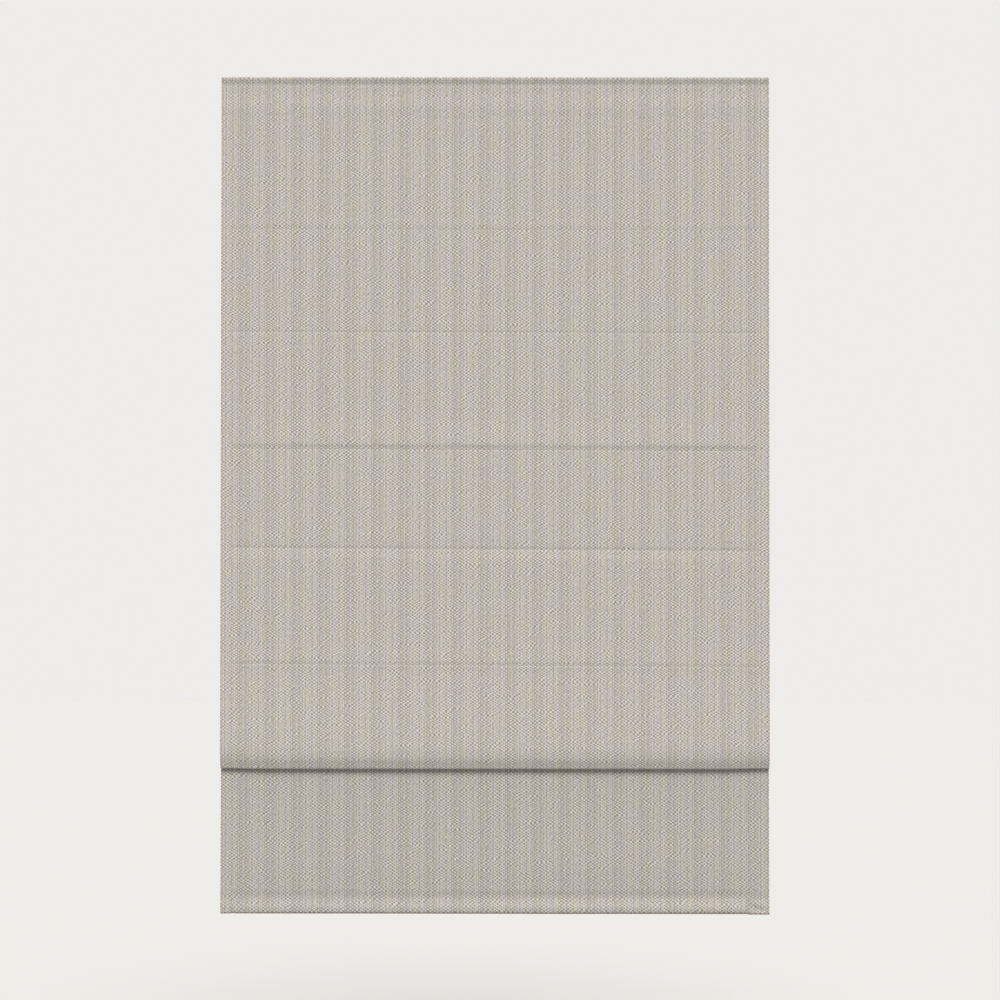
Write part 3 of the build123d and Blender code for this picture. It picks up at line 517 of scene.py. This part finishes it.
def lining_cloth():
    """Two sets of fine threads, each sine(2 pi * place / 1 mm), multiplied together."""
    material, tree = finish("cotton_sateen_lining")
    place = add(tree, "UVMap", uv_map="cloth")
    wave = {"Vector": place, "Scale": 314.0, "Distortion": 1.5, "Detail": 1.0}  # phase = 20 * scale * place
    threads = [add(tree, "TexWave", wave, bands_direction=way).outputs["Fac"] for way in "XY"]
    cross = add(tree, "Math", threads, operation="MULTIPLY")
    soft = add(tree, "TexNoise", {"Vector": place, "Scale": 18.0, "Detail": 3.0}, noise_dimensions="2D")
    mix = add(tree, "Math", [soft, 0.5], operation="MULTIPLY")
    mix = add(tree, "Math", [cross, 0.4, mix], operation="MULTIPLY_ADD")
    cloth = add(tree, "Mix", {0: mix, 6: linear("#E2DED6"), 7: linear("#EDEAE3")}, data_type="RGBA")
    bump = add(tree, "Bump", {"Height": cross, "Strength": 0.25, "Distance": 0.1 * MM})
    surface(tree, {"Base Color": cloth.outputs[2], "Normal": bump, "Roughness": 0.7, "Sheen Weight": 0.2})
    return material


LINING_CLOTH = lining_cloth()

# %% [markdown]
# ## Carrying a section along the line
#
# Across the blind the cloth is flat in front and turned back into a hem at each side, which hides the edges of
# the lining. A Solidify modifier could thicken a plain sheet, but it can't fold a hem. So a section is a row of
# points (x, offset behind the line), and it is carried along the line: point = line + behind * (offset - relief).
# Rows stand closer where the line bends or a seam crosses.

# %% Rows, sections and the carried mesh
UV_MIDDLE = 500  # where the middle of the blind lies on the cloth's UV map, so that no place on it is negative


def rows(first, last):
    """Places along the cloth from first to last. The gap is 0.13 radians of bend, or 0.6 mm at a seam and a seventh
    more for each mm away from it, from 0.3 up to 4 mm."""
    inside = (ALONG >= first) & (ALONG <= last)
    place = ALONG[inside]
    seams = np.array([FLAT + 7, AT["bar seam"]] + [FLAT + seam for seam, _, _ in SEAM_RELIEF])
    near = np.abs(place[:, None] - seams).min(axis=1)
    gap = np.clip(np.minimum(0.13 / np.maximum(BEND[inside], 1e-6), 0.6 + near / 7), 0.3, 4.0)
    count = np.concatenate([[0], np.cumsum(np.diff(place) / gap[1:])])
    wanted = np.linspace(0, count[-1], int(math.ceil(count[-1])) + 1)
    found = np.interp(wanted, count, place)
    found[[0, -1]] = first, last
    return found


def across(low, high, columns):
    """Places across the blind, with ten more at each end of the bar, where the hem is creased."""
    fine = np.linspace(-3, 3, 10)
    return np.sort(np.concatenate([np.linspace(low, high, columns), BAR_LOW + fine, BAR_HIGH - fine]))


def plain_section(half, near, far, columns):
    """A flat strip's section: its front and back edge points as (x, offset), with rounded sides."""
    x = np.concatenate([[-half], across(-half + 0.3, half - 0.3, columns), [half]])
    ends = np.where(np.abs(x) > half - 0.1, 0.25 * (far - near), 0)
    return np.stack([x, near + ends], 1), np.stack([x, far - ends], 1)


def hemmed_section(columns):
    """The face cloth's section: flat in front, and turned back at each side by a half circle into a flap."""
    lines = []
    for radius in (STACK / 2, STACK / 2 - FACE):
        angle = np.radians(np.linspace(90, 270, 9))
        bend = np.stack([HALF - STACK / 2 - radius * np.cos(angle), STACK / 2 + radius * np.sin(angle)], 1)
        flap = np.linspace(HALF - SIDE_FLAP, HALF - STACK / 2, 5)[:-1]
        left = np.concatenate([np.stack([flap, np.full(len(flap), STACK / 2 + radius)], 1), bend]) * (-1, 1)
        x, front = left[-1]
        x = across(x, -x, columns)[1:-1]
        lines.append(np.concatenate([left, np.stack([x, np.full(len(x), front)], 1), left[::-1] * (-1, 1)]))
    return lines


def walls(count, wide):
    """The vertex numbers of a grid whose rows are closed loops, and the quads from each row to the next."""
    number = np.arange(count * wide).reshape(count, wide)
    after = np.roll(number, -1, 1)
    return number, np.stack([number[:-1], after[:-1], after[1:], number[1:]], 2).reshape(-1, 4)


def paired(across, along):
    """The grid's (across, along) pairs, row by row."""
    return np.stack(np.broadcast_arrays(across[None, :], along[:, None]), 2).reshape(-1, 2)


def finish_mesh(made, uv, map_name="cloth"):
    """Gives each vertex its UV in metres, drops unused vertices, and turns all faces outwards."""
    layer = made.data.uv_layers.new(name=map_name)
    vertex = np.zeros(len(made.data.loops), np.int32)
    made.data.loops.foreach_get("vertex_index", vertex)
    layer.data.foreach_set("uv", (uv[vertex] * MM).astype(np.float32).ravel())
    work = bmesh.new()
    work.from_mesh(made.data)
    bmesh.ops.delete(work, geom=[v for v in work.verts if not v.link_faces], context="VERTS")
    bmesh.ops.recalc_face_normals(work, faces=work.faces)
    work.to_mesh(made.data)
    work.free()
    made.data.set_sharp_from_angle(angle=math.radians(50))


def carried(name, first, last, section, material):
    """The section carried along the line from first to last, closed at both ends, with a UV map in metres."""
    front, back = section
    loop = np.concatenate([front, back[::-1]])
    place = rows(first, last)[:, None]
    x, offset = loop.T[:, None, :]
    y, z, back_y, back_z = on_line(place, x)
    out = offset - relief(place, x)
    points = np.stack([np.broadcast_to(x, y.shape), y + back_y * out, z + back_z * out], axis=2)
    count, wide = y.shape
    number, sides = walls(count, wide)
    column = np.arange(wide // 2 - 1)
    ends = [np.stack([row[column], row[wide - 1 - column], row[wide - 2 - column], row[column + 1]], 1)
            for row in (number[0], number[-1])]
    ends[1] = ends[1][:, ::-1]
    faces = np.concatenate([sides, *ends])
    made = to_object(name, points.reshape(-1, 3), faces, material)

    reach = travelled(front)
    reach = np.concatenate([reach, reach[::-1]]) - reach[-1] / 2
    finish_mesh(made, paired(reach + UV_MIDDLE, place[:, 0]))
    print(name, count, "rows of", wide)
    return made


# %% [markdown]
# ## Face cloth, panel by panel
#
# A roman blind folds at its rods. One long cloth could be bent in one go, but a piece can bend between two
# bodies only, so the cloth is made in panels that meet at the seams. A panel stays flat from the back rod down to
# the front rod, so its listed drops start below the front seam. The gathered pleat's front moves with the third back
# rod.

# %% Face panels
SEAM_AT = [FLAT + seam for seam in BACK_SEAMS[:3]]
HEM_TOP, HEM_LOW = FLAT + 33, AT["bar seam"] - 14  # where the hems end and the side turnings begin
COLUMNS, LINING_COLUMNS = 205, 120
PANELS = [
    # name, first, last, and the bodies, with two drops for a panel that spans two bodies
    ("top_hem", 0, HEM_TOP, ("headrail",)),
    ("panel_1", HEM_TOP, SEAM_AT[0], ("headrail", "batten_1", 70, BACK_SEAMS[0] - 8)),
    ("panel_2", SEAM_AT[0], SEAM_AT[1], ("batten_1", "batten_2", FRONT_SEAMS[0] + 8, BACK_SEAMS[1] - 8)),
    ("panel_3", SEAM_AT[1], SEAM_AT[2], ("batten_2", "batten_3", FRONT_SEAMS[1] + 8, BACK_SEAMS[2] - 8)),
    ("pleat_front", SEAM_AT[2], AT["turn"], ("batten_3",)),
    ("pleat_back", AT["turn"], AT["crest"], ("batten_3", "batten_4", TOP - FOLD_Z, BACK_SEAMS[3] + 4)),
    ("skirt", AT["crest"], HEM_LOW, ("batten_4",)),
    ("bar_hem", HEM_LOW, ALONG[-1], ("batten_4",)),
]


def hang(piece, bodies, node):
    """Takes the place of a node. It rides on one body, or, where two bodies and two drops are given, is left in place
    in world coordinates.
    """
    if len(bodies) == 1:
        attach(piece, bodies[0])
    else:
        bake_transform(piece)
    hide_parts(node)


for name, first, last, bodies in PANELS:
    flapped = name not in ("top_hem", "bar_hem")
    section = hemmed_section(COLUMNS) if flapped else plain_section(HALF, 0, FACE, COLUMNS)
    panel = carried(f"face_{name}", first, last, section, FACE_CLOTH)
    hang(panel, bodies, "face_fabric")

# %% Lining panels
for name, first, last, bodies in PANELS:
    if name in ("top_hem", "bar_hem"):
        continue
    first = FLAT + 3 if name == "panel_1" else first
    last = HEM_LOW + 12 if name == "skirt" else last
    near = FACE + GAP  # behind the face cloth, and in from the side
    section = plain_section(HALF - near, near, near + LINING, LINING_COLUMNS)
    panel = carried(f"lining_{name}", first, last, section, LINING_CLOTH)
    hang(panel, bodies, "lining")

# %% [markdown]
# ## Rod pockets
#
# Each rod lies in a strip of lining cloth, folded round it and sewn through the lining and face. A tube alone
# would float behind the blind, so both edges of the strip meet at the seam, caught by one row of stitches. A back
# pocket is notched at each lift cord, where the cord's guide clips to the rod. The strip's section is a line of
# points (y, z), and the strip is two grids: point = line -+ normal * half the thickness, drawn out along x.

# %% A thick strip with notches
POCKET_CLOTH = 0.34
SECOND_LAYER = 1.3 * POCKET_CLOTH  # how far the strip's second edge lies behind its first
GUIDE_X = middle("cord_guide_1_right")[0]
NOTCH = 4.0
POCKET_HALF = corners("back_pocket_1")[1][0]
STRIP_STEP = 4.0


def strip(name, line, notched, seed):
    """Front and back grids at line -+ normal * thickness / 2, and the strip's width. Cells from notched[0] to
    notched[1] of the line are left out at each lift cord, and quads join the two grids along every open edge."""
    x = np.linspace(-POCKET_HALF, POCKET_HALF, int(2 * POCKET_HALF / STRIP_STEP))
    for edge in (-GUIDE_X - NOTCH, -GUIDE_X + NOTCH, GUIDE_X - NOTCH, GUIDE_X + NOTCH):
        x[np.abs(x - edge).argmin()] = edge
    slope = np.gradient(line, axis=0)
    normal = np.stack([-slope[:, 1], slope[:, 0]], 1) / np.hypot(*slope.T)[:, None]
    waves = 0.12 * wander(x, seed, 260)[None, :, None] * np.linspace(1, 0, len(line))[:, None, None]
    count, wide = len(line), len(x)
    grids = []
    for side in (-1, 1):
        yz = (line + side * normal * POCKET_CLOTH / 2)[:, None, :] + normal[:, None, :] * waves
        grids.append(np.concatenate([np.broadcast_to(x[None, :, None], (count, wide, 1)), yz], 2).reshape(-1, 3))
    kept = np.ones((count - 1, wide - 1), bool)
    cell_x = (x[1:] + x[:-1]) / 2
    kept[notched[0] : notched[1], np.abs(np.abs(cell_x) - GUIDE_X) < NOTCH] = False
    number = np.arange(count * wide).reshape(count, wide)
    cells = np.stack([number[:-1, :-1], number[:-1, 1:], number[1:, 1:], number[1:, :-1]], 2)[kept]
    total = count * wide
    edges = np.concatenate([np.stack([cells[:, i], cells[:, (i + 1) % 4]], 1) for i in range(4)])
    _, first, uses = np.unique(np.sort(edges, 1), axis=0, return_index=True, return_counts=True)
    open_edges = edges[first[uses == 1]]
    rim = np.stack([open_edges[:, 1], open_edges[:, 0], open_edges[:, 0] + total, open_edges[:, 1] + total], 1)
    faces = np.concatenate([cells, cells[:, ::-1] + total, rim])
    made = to_object(name, np.concatenate(grids), faces, LINING_CLOTH)
    uv = paired(x + UV_MIDDLE, travelled(line))
    finish_mesh(made, np.concatenate([uv, uv]))
    return made, uv[-1, 1]


def pocket_line(rod, radius, foot, up):
    """Up the seam from the foot, round the rod from its front, and back down to the foot. With up -1 the same line
    is turned upside down."""
    near, start = rod[1] - radius, rod[2] - up * foot
    tail = np.linspace(start, rod[2], 5)[:-1]
    angle = np.radians(np.linspace(180, -115, 30))
    loop = np.stack([rod[1] + radius * np.cos(angle), rod[2] + up * radius * np.sin(angle)], 1)
    back = np.linspace(loop[-1], (near + SECOND_LAYER, rod[2] - up * (radius + 1.6)), 4)[1:]
    down = np.linspace(back[-1], (near + SECOND_LAYER, start), 4)[1:]
    return np.concatenate([np.stack([np.full(4, near), tail], 1), loop, back, down])


# %% Back and front pockets
BACK_TUBE, FRONT_TUBE = 2.92, 2.12
POCKETS = {f"back_pocket_{n}": pocket_line(rod, BACK_TUBE, 10.0, 1) for n, rod in enumerate(BACK_RODS, 1)}
for n, rod in enumerate(FRONT_RODS[:2], 1):
    POCKETS[f"front_pocket_{n}"] = pocket_line(rod, FRONT_TUBE, 12.0, -1)

# The lowest front rod lies inside the gathered pleat, so its strip hangs on the inside of the pleat's front.
inside = (ALONG > AT["fold"] - 11) & (ALONG < AT["fold"])
share = np.linspace(0, 1, inside.sum())[:, None]
tail = LINE[inside] + BEHIND[inside] * (2.35 + 0.5 * share)
angle = np.radians(np.linspace(180 + LEAN, 180 + LEAN + 330, 32))
round_rod = np.stack([FOLD_Y + FRONT_TUBE * np.cos(angle), FRONT_RODS[2][2] + FRONT_TUBE * np.sin(angle)], 1)
POCKETS["front_pocket_3"] = np.concatenate([tail[::6], round_rod])

for name, line in POCKETS.items():
    notched, seed = ((5, 35), 78) if name.startswith("back") else ((0, 0), 79)
    pocket, length = strip(f"sewn_{name}", line, notched, seed)
    hang(pocket, (f"batten_{name[-1]}",), name)
    print(name, "is", round(length, 1), "mm wide before folding")

# %% [markdown]
# ## Lift cords
#
# Two braided polyester cords come down from their spools, through the guides, to a bead under the lowest rod,
# held taut and straight. A cord could be one tube, but each stretch between two guides shortens as its pleat
# gathers, so it is made in four stretches, each listed with the body above it and the one below. The turns on a spool
# are a
# helix: x = start + pitch * turn, with (y, z) = middle + radius * (cosine, sine).

# %% A tube round a path
CORD = 0.6  # radius
SPOOL = middle("lift_rod")
WOUND, TURNS = 9.0, 7  # radius and number of the turns on a spool
SIDES = 8


def tube(name, path, radius):
    """Rings of points, path + radius * (side * cosine + up * sine), closed by a point at each end."""
    heading = np.gradient(path, axis=0)
    heading /= np.linalg.norm(heading, axis=1)[:, None]
    first = np.cross(heading, (1.0, 0.0, 0.0) if abs(heading[0][0]) < 0.9 else (0.0, 1.0, 0.0))
    first /= np.linalg.norm(first, axis=1)[:, None]
    second = np.cross(heading, first)
    angle = np.linspace(0, 2 * np.pi, SIDES, endpoint=False)
    out = first[:, None, :] * np.cos(angle)[:, None] + second[:, None, :] * np.sin(angle)[:, None]
    rings = path[:, None, :] + radius * out
    count = len(path)
    number, sides = walls(count, SIDES)
    tips = [path[0] - heading[0] * radius / 2, path[-1] + heading[-1] * radius / 2]
    caps = [[end, a, b] for end, ring in ((count * SIDES, number[0][::-1]), (count * SIDES + 1, number[-1]))
            for a, b in zip(ring, np.roll(ring, -1))]
    made = to_object(name, np.concatenate([rings.reshape(-1, 3), tips]), sides.tolist() + caps, BRAID)
    uv = paired(angle * radius, travelled(path))
    finish_mesh(made, np.concatenate([uv, [[0, 0], [0, uv[-1, 1]]]]), "cord")
    return made


# %% [markdown]
# ## Braid
#
# The cord is a round braid of sixteen small bundles of white polyester filament, half wound one way and half the
# other. It reads as fine diamonds with a silky shine, half a millimetre long. They are drawn from
# sine(along + round) * sine(along - round) on the cord's own UV map.

# %% Braided polyester
BUNDLES, PLAIT = 16, 0.9  # bundles of filament in the braid, and the length over which its pattern repeats


def braided_cord():
    """The diamonds are the product of two sines, along each of the two ways that the bundles are wound."""
    material, tree = finish("braided_polyester_cord")
    round_it, along = add(tree, "SeparateXYZ", [add(tree, "UVMap", uv_map="cord")]).outputs[:2]
    around = add(tree, "Math", [round_it, BUNDLES / 2 / (CORD * MM)], operation="MULTIPLY")
    diamonds = crossed(tree, [(along, PLAIT, around), (along, -PLAIT, around)])
    level = add(tree, "MapRange", [diamonds, -1.0, 1.0, 0.0, 1.0])
    white = add(tree, "Mix", {0: level, 6: linear("#DCDAD3"), 7: linear("#F6F4EF")}, data_type="RGBA")
    bump = add(tree, "Bump", {"Height": diamonds, "Strength": 0.5, "Distance": 0.1 * MM})
    surface(tree, {"Base Color": white.outputs[2], "Normal": bump, "Roughness": 0.55, "Sheen Weight": 0.2})
    return material


BRAID = braided_cord()

# %% Cord stretches and windings
GUIDE_Z = [middle(f"cord_guide_{n}_right")[2] for n in (1, 2, 3)]
ENDS = [SPOOL[2], *GUIDE_Z, corners("lift_cord_right")[0][2] + CORD / 2]
BODIES = ["headrail", "batten_1", "batten_2", "batten_3", "batten_4"]
CORD_Y = middle("lift_cord_right")[1]
LAST_TURN = (TURNS - 1) * CORD
BUSH_Z = corners("headrail")[0][2]
POINTS = 40  # along one stretch of cord
for side, hand in ((-1, "left"), (1, "right")):
    for number in range(4):
        z = np.linspace(ENDS[number], ENDS[number + 1], POINTS)
        x = side * (GUIDE_X + LAST_TURN * np.clip((z - BUSH_Z) / (SPOOL[2] - BUSH_Z), 0, 1) ** 1.5)
        path = np.stack([x, np.full(POINTS, CORD_Y), z], 1)
        stretch = tube(f"lift_cord_{hand}_{number + 1}", path, CORD)
        bend = (*BODIES[number : number + 2], TOP - z[0] + 25, TOP - z[-1])
        hang(stretch, bend, f"lift_cord_{hand}")
    angle = np.linspace(math.pi, math.pi - 2 * math.pi * TURNS, 24 * TURNS + 1)
    x = side * (GUIDE_X + LAST_TURN - 2 * CORD * np.linspace(0, TURNS, len(angle)) * (TURNS - 1) / TURNS)
    path = np.stack([x, SPOOL[1] + WOUND * np.cos(angle), SPOOL[2] + WOUND * np.sin(angle)], 1)
    winding = tube(f"wound_cord_{hand}", path, CORD)
    hang(winding, ("lift_shaft",), f"cord_winding_{hand}")
print("each cord hangs", round(ENDS[0] - ENDS[-1], 1), "mm, with", TURNS, "turns on its spool")

# %% [markdown]
# ## Stitches
#
# Every seam is a row of lock stitches. From the front they are small dark dashes that sink into the weave, and
# from behind they hold the pockets. One stitch is a low rounded bar with ten corners, and a row repeats it:
# corner = place + along * x + up * z + out * height. Thread on a curve would weigh more and look the same.

# %% Sewing thread


def sewing_thread(name, colour):
    """Spun polyester thread: matt, with a twist too fine to show, so it is drawn as a faint noise of 0.3 mm."""
    material, tree = finish(name)
    noise = add(tree, "TexNoise", {"Vector": add(tree, "TexCoord").outputs["Object"], "Scale": 3300.0})
    tone = add(tree, "Mix", {0: noise, 6: linear(colour), 7: linear("#D9D3CC")}, data_type="RGBA")
    surface(tree, {"Base Color": tone.outputs[2], "Roughness": 0.85})
    return material


THREADS = {"face_cloth": sewing_thread("spun_polyester_thread_for_face", "#6E6760"),
           "lining_cloth": sewing_thread("spun_polyester_thread_for_lining", "#B9B3A9")}

# One stitch's ten corners, and its sixteen faces. It is 3 mm long, 0.7 mm wide and stands 0.18 mm out.
STITCH_PITCH = 4.0
STITCH_X = np.array([-0.5, -0.5, -0.35, -0.35, -0.35, 0.35, 0.35, 0.35, 0.5, 0.5]) * 3.0
STITCH_OUT = np.array([-0.6, -0.6, -0.6, 1, -0.6, -0.6, 1, -0.6, -0.6, -0.6]) * 0.18
STITCH_UP = np.array([-0.5, 0.5, -1, 0, 1, -1, 0, 1, -0.5, 0.5]) * 0.35
STITCH_FACES = [[0, 2, 3], [0, 3, 1], [1, 3, 4], [2, 5, 6], [2, 6, 3], [3, 6, 7], [3, 7, 4], [5, 8, 6], [8, 9, 6],
                [9, 7, 6], [0, 1, 4], [0, 4, 2], [2, 4, 7], [2, 7, 5], [5, 7, 9], [5, 9, 8]]


def stitch_row(name, body, slot, place, way, half):
    """A row of stitches. place(x) gives each one's middle (y, z), and way is -1 in front of the cloth, 1 behind."""
    x = np.arange(-half + STITCH_PITCH, half - STITCH_PITCH, STITCH_PITCH)
    yz = place(x)[:, None, :] + way * np.stack([STITCH_OUT, STITCH_UP], 1)
    points = np.concatenate([(x[:, None] + STITCH_X)[:, :, None], yz], 2)
    faces = np.arange(len(x))[:, None, None] * len(STITCH_X) + np.array(STITCH_FACES)
    made = to_object(f"stitches_{name}", points.reshape(-1, 3), faces.reshape(-1, 3), THREADS[slot], smooth=False)
    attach(made, body)


def on_front(along):
    """A place on the cloth's front for each x: line - behind * relief, where the seam runs lower to the right."""
    def place(x):
        high = relief(np.full(len(x), along), x) + 0.05
        y, z, back_y, back_z = on_line(along, x)
        return np.stack([y - back_y * high, z - back_z * high], 1)
    return place


# %% Rows of stitches
NEAR_SIDE = HALF - 3  # the hems are sewn almost to the sides, and the pockets' seams stop where the pockets do
FRONT_ROWS = [("top_hem", "headrail", FLAT + 7.4, NEAR_SIDE), ("bar_front", "batten_4", AT["bar seam"], NEAR_SIDE)]
for kind, seams in (("back", SEAM_RELIEF[::2]), ("front", SEAM_RELIEF[1::2])):
    for number, (seam, _, _) in enumerate(seams, 1):
        FRONT_ROWS.append((f"{kind}_seam_{number}", f"batten_{number}", FLAT + seam, POCKET_HALF))
for name, body, along, half in FRONT_ROWS:
    stitch_row(name, body, "face_cloth", on_front(along), -1, half)
stitch_row("bar_back", "batten_4", "face_cloth", on_front(AT["hem tuck"] + 3), 1, NEAR_SIDE)
for kind, rods, radius, off in (("back", BACK_RODS, BACK_TUBE, -BELOW_ROD),
                                ("front", FRONT_RODS[:2], FRONT_TUBE, ABOVE_ROD)):
    for number, rod in enumerate(rods, 1):
        row = np.array([rod[1] - radius + SECOND_LAYER + POCKET_CLOTH / 2, rod[2] + off])
        stitch_row(f"{kind}_pocket_{number}", f"batten_{number}", "lining_cloth",
                   lambda x, row=row: np.broadcast_to(row, (len(x), 2)), 1, POCKET_HALF)
print("rows of stitches:", len(FRONT_ROWS), "in front and", len(BACK_RODS) + 3, "behind")

# %% [markdown]
# ## Finishes of the rigid parts
#
# Every finish of a rigid part starts from a base of fine relief, because no moulding, rolled sheet or drawn rod
# is quite even. An image texture could do that, but noise on Object coordinates needs no file and has a real
# size: its scale is one over the grain's size. A stretch makes the grain long in one direction, as drawing does.

# %% A base for rigid finishes
FINISHES = {}


def grained(slot, name, dark, pale, grain, depth, roughness, stretch=(1, 1, 1), detail=2.0, **sockets):
    """Noise with one grain size in mm between two colours. The same noise is the relief, depth in mm, and moves the
    roughness between two values. Other constants are given by socket, with _ for a space."""
    FINISHES[slot], tree = finish(name)
    place = add(tree, "TexCoord").outputs["Object"]
    place = add(tree, "Mapping", {"Vector": place, "Scale": tuple(value / (grain * MM) for value in stretch)})
    noise = add(tree, "TexNoise", {"Vector": place, "Scale": 1.0, "Detail": detail})
    colour = add(tree, "Mix", {0: noise, 6: linear(dark), 7: linear(pale)}, data_type="RGBA")
    gloss = add(tree, "MapRange", [noise, 0.3, 0.7, *roughness])
    bump = add(tree, "Bump", {"Height": noise, "Strength": 0.6, "Distance": depth * MM})
    constants = {socket.replace("_", " "): value for socket, value in sockets.items()}
    shader = surface(tree, {"Base Color": colour.outputs[2], "Roughness": gloss, "Normal": bump, **constants})
    return tree, shader, colour, bump


# %% Metals
# Cold-rolled steel under white stove enamel, which flows before it sets and leaves a soft orange peel a
# millimetre or two across, with a satin shine.
grained("rail_enamel", "white_stove_enamel", "#E4E2DC", "#EEECE7", 1.6, 0.012, (0.28, 0.36), Coat_Weight=0.2,
        Coat_Roughness=0.15)
# Spring steel, stamped and plated with zinc: bluish and bright, clouded where the bath was uneven, with fine pits
# from the rolled sheet.
grained("spring_steel_plate", "zinc_plated_spring_steel", "#9FA6AD", "#C4C8CC", 3.0, 0.015, (0.26, 0.48),
        detail=5.0, Metallic=1.0)
# A hexagonal bar, drawn through a die and zinc plated. The die's lines run along it, far finer than they are
# drawn here, and pull each highlight out across the flats.
grained("plated_steel", "drawn_zinc_plated_steel", "#989EA5", "#C2C6CA", 0.5, 0.01, (0.24, 0.42),
        stretch=(0.01, 1, 1), Metallic=1.0)
# Aluminium as it left the extrusion die: soft grey under a thin dull oxide, with streaks along its length.
grained("bar_aluminium", "mill_finish_aluminium", "#B4B6B8", "#CFD0D1", 0.8, 0.01, (0.34, 0.5),
        stretch=(0.015, 1, 1), Metallic=1.0)

# %% Plastics and glass fibre
# Injection-moulded ABS from a spark-eroded mould, which gives a fine even grain that breaks up every highlight.
grained("white_plastic", "moulded_white_abs", "#E2E0DA", "#EBE9E4", 0.7, 0.03, (0.42, 0.52))
# Moulded nylon, grey all the way through. It has the same grain, and paler flow lines where the melt met.
grained("grey_plastic", "moulded_grey_nylon", "#8D9195", "#A0A3A6", 0.9, 0.03, (0.4, 0.55), detail=4.0)
# Acetal, a dense slippery plastic. It is milky, so light enters a little way and comes out soft and warm.
grained("spool_plastic", "moulded_acetal", "#E9E5DA", "#F2EFE7", 1.2, 0.01, (0.22, 0.34), Subsurface_Weight=0.15,
        Subsurface_Scale=0.002)
# Clear polycarbonate. It lets light through, with a faint ripple from the mould's polished walls.
grained("clear_plastic", "clear_polycarbonate", "#EDF1F2", "#FBFCFC", 2.5, 0.02, (0.06, 0.14),
        Transmission_Weight=0.85, IOR=1.58)
# Glass fibre and resin, pulled through a heated die. The fibres run along the rod and show as pale and greenish
# streaks under a thin skin of resin.
grained("rod_glass_fibre", "pultruded_glass_fibre", "#CFCBB0", "#F1EEDF", 0.35, 0.02, (0.3, 0.46),
        stretch=(0.012, 1, 1), Coat_Weight=0.3, Coat_Roughness=0.2)

# %% [markdown]
# ## Hook and loop tape
#
# The rail carries a strip of stiff nylon hooks, and the cloth a strip of brushed loops, both white. Real hooks
# stand in rows 1.5 mm apart. Modelling ten thousand of them would cost more than they show, so a product of two
# sines makes their rows, and noise frays them.

# %% Hook and loop tape
HOOK_PITCH = 1.5
# Stiff nylon, matt and white. The rows of hooks are sine(x) * sine(z), frayed by the noise of the base.
tree, shader, colour, bump = grained("fastening_tape", "nylon_hook_and_loop_tape", "#DAD8D2", "#F3F2EE", 0.8, 0.25,
                                     (0.7, 0.9), detail=4.0, Sheen_Weight=0.3)
x, _, z = add(tree, "SeparateXYZ", [add(tree, "TexCoord").outputs["Object"]]).outputs
hooks = crossed(tree, [(x, HOOK_PITCH, 0.0), (z, HOOK_PITCH, 0.0)])
level = add(tree, "MapRange", [hooks, -1.0, 1.0, 0.78, 1.0])
shaded = add(tree, "VectorMath", {0: colour.outputs[2], "Scale": level}, operation="SCALE")
tree.links.new(shaded.outputs[0], shader.inputs["Base Color"])
standing = add(tree, "Bump", {"Height": hooks, "Strength": 0.7, "Distance": 0.5 * MM, "Normal": bump})
tree.links.new(standing.outputs[0], shader.inputs["Normal"])
print("hooks every", HOOK_PITCH, "mm")

# %% Give each CAD node its finish
for part in frame["record"]["subparts"]:
    node = frame["nodes"][part["node"]]
    if part["material_slot"] in FINISHES:
        node.data.materials.clear()
        node.data.materials.append(FINISHES[part["material_slot"]])
print(len(FINISHES), "finishes on the rigid parts")
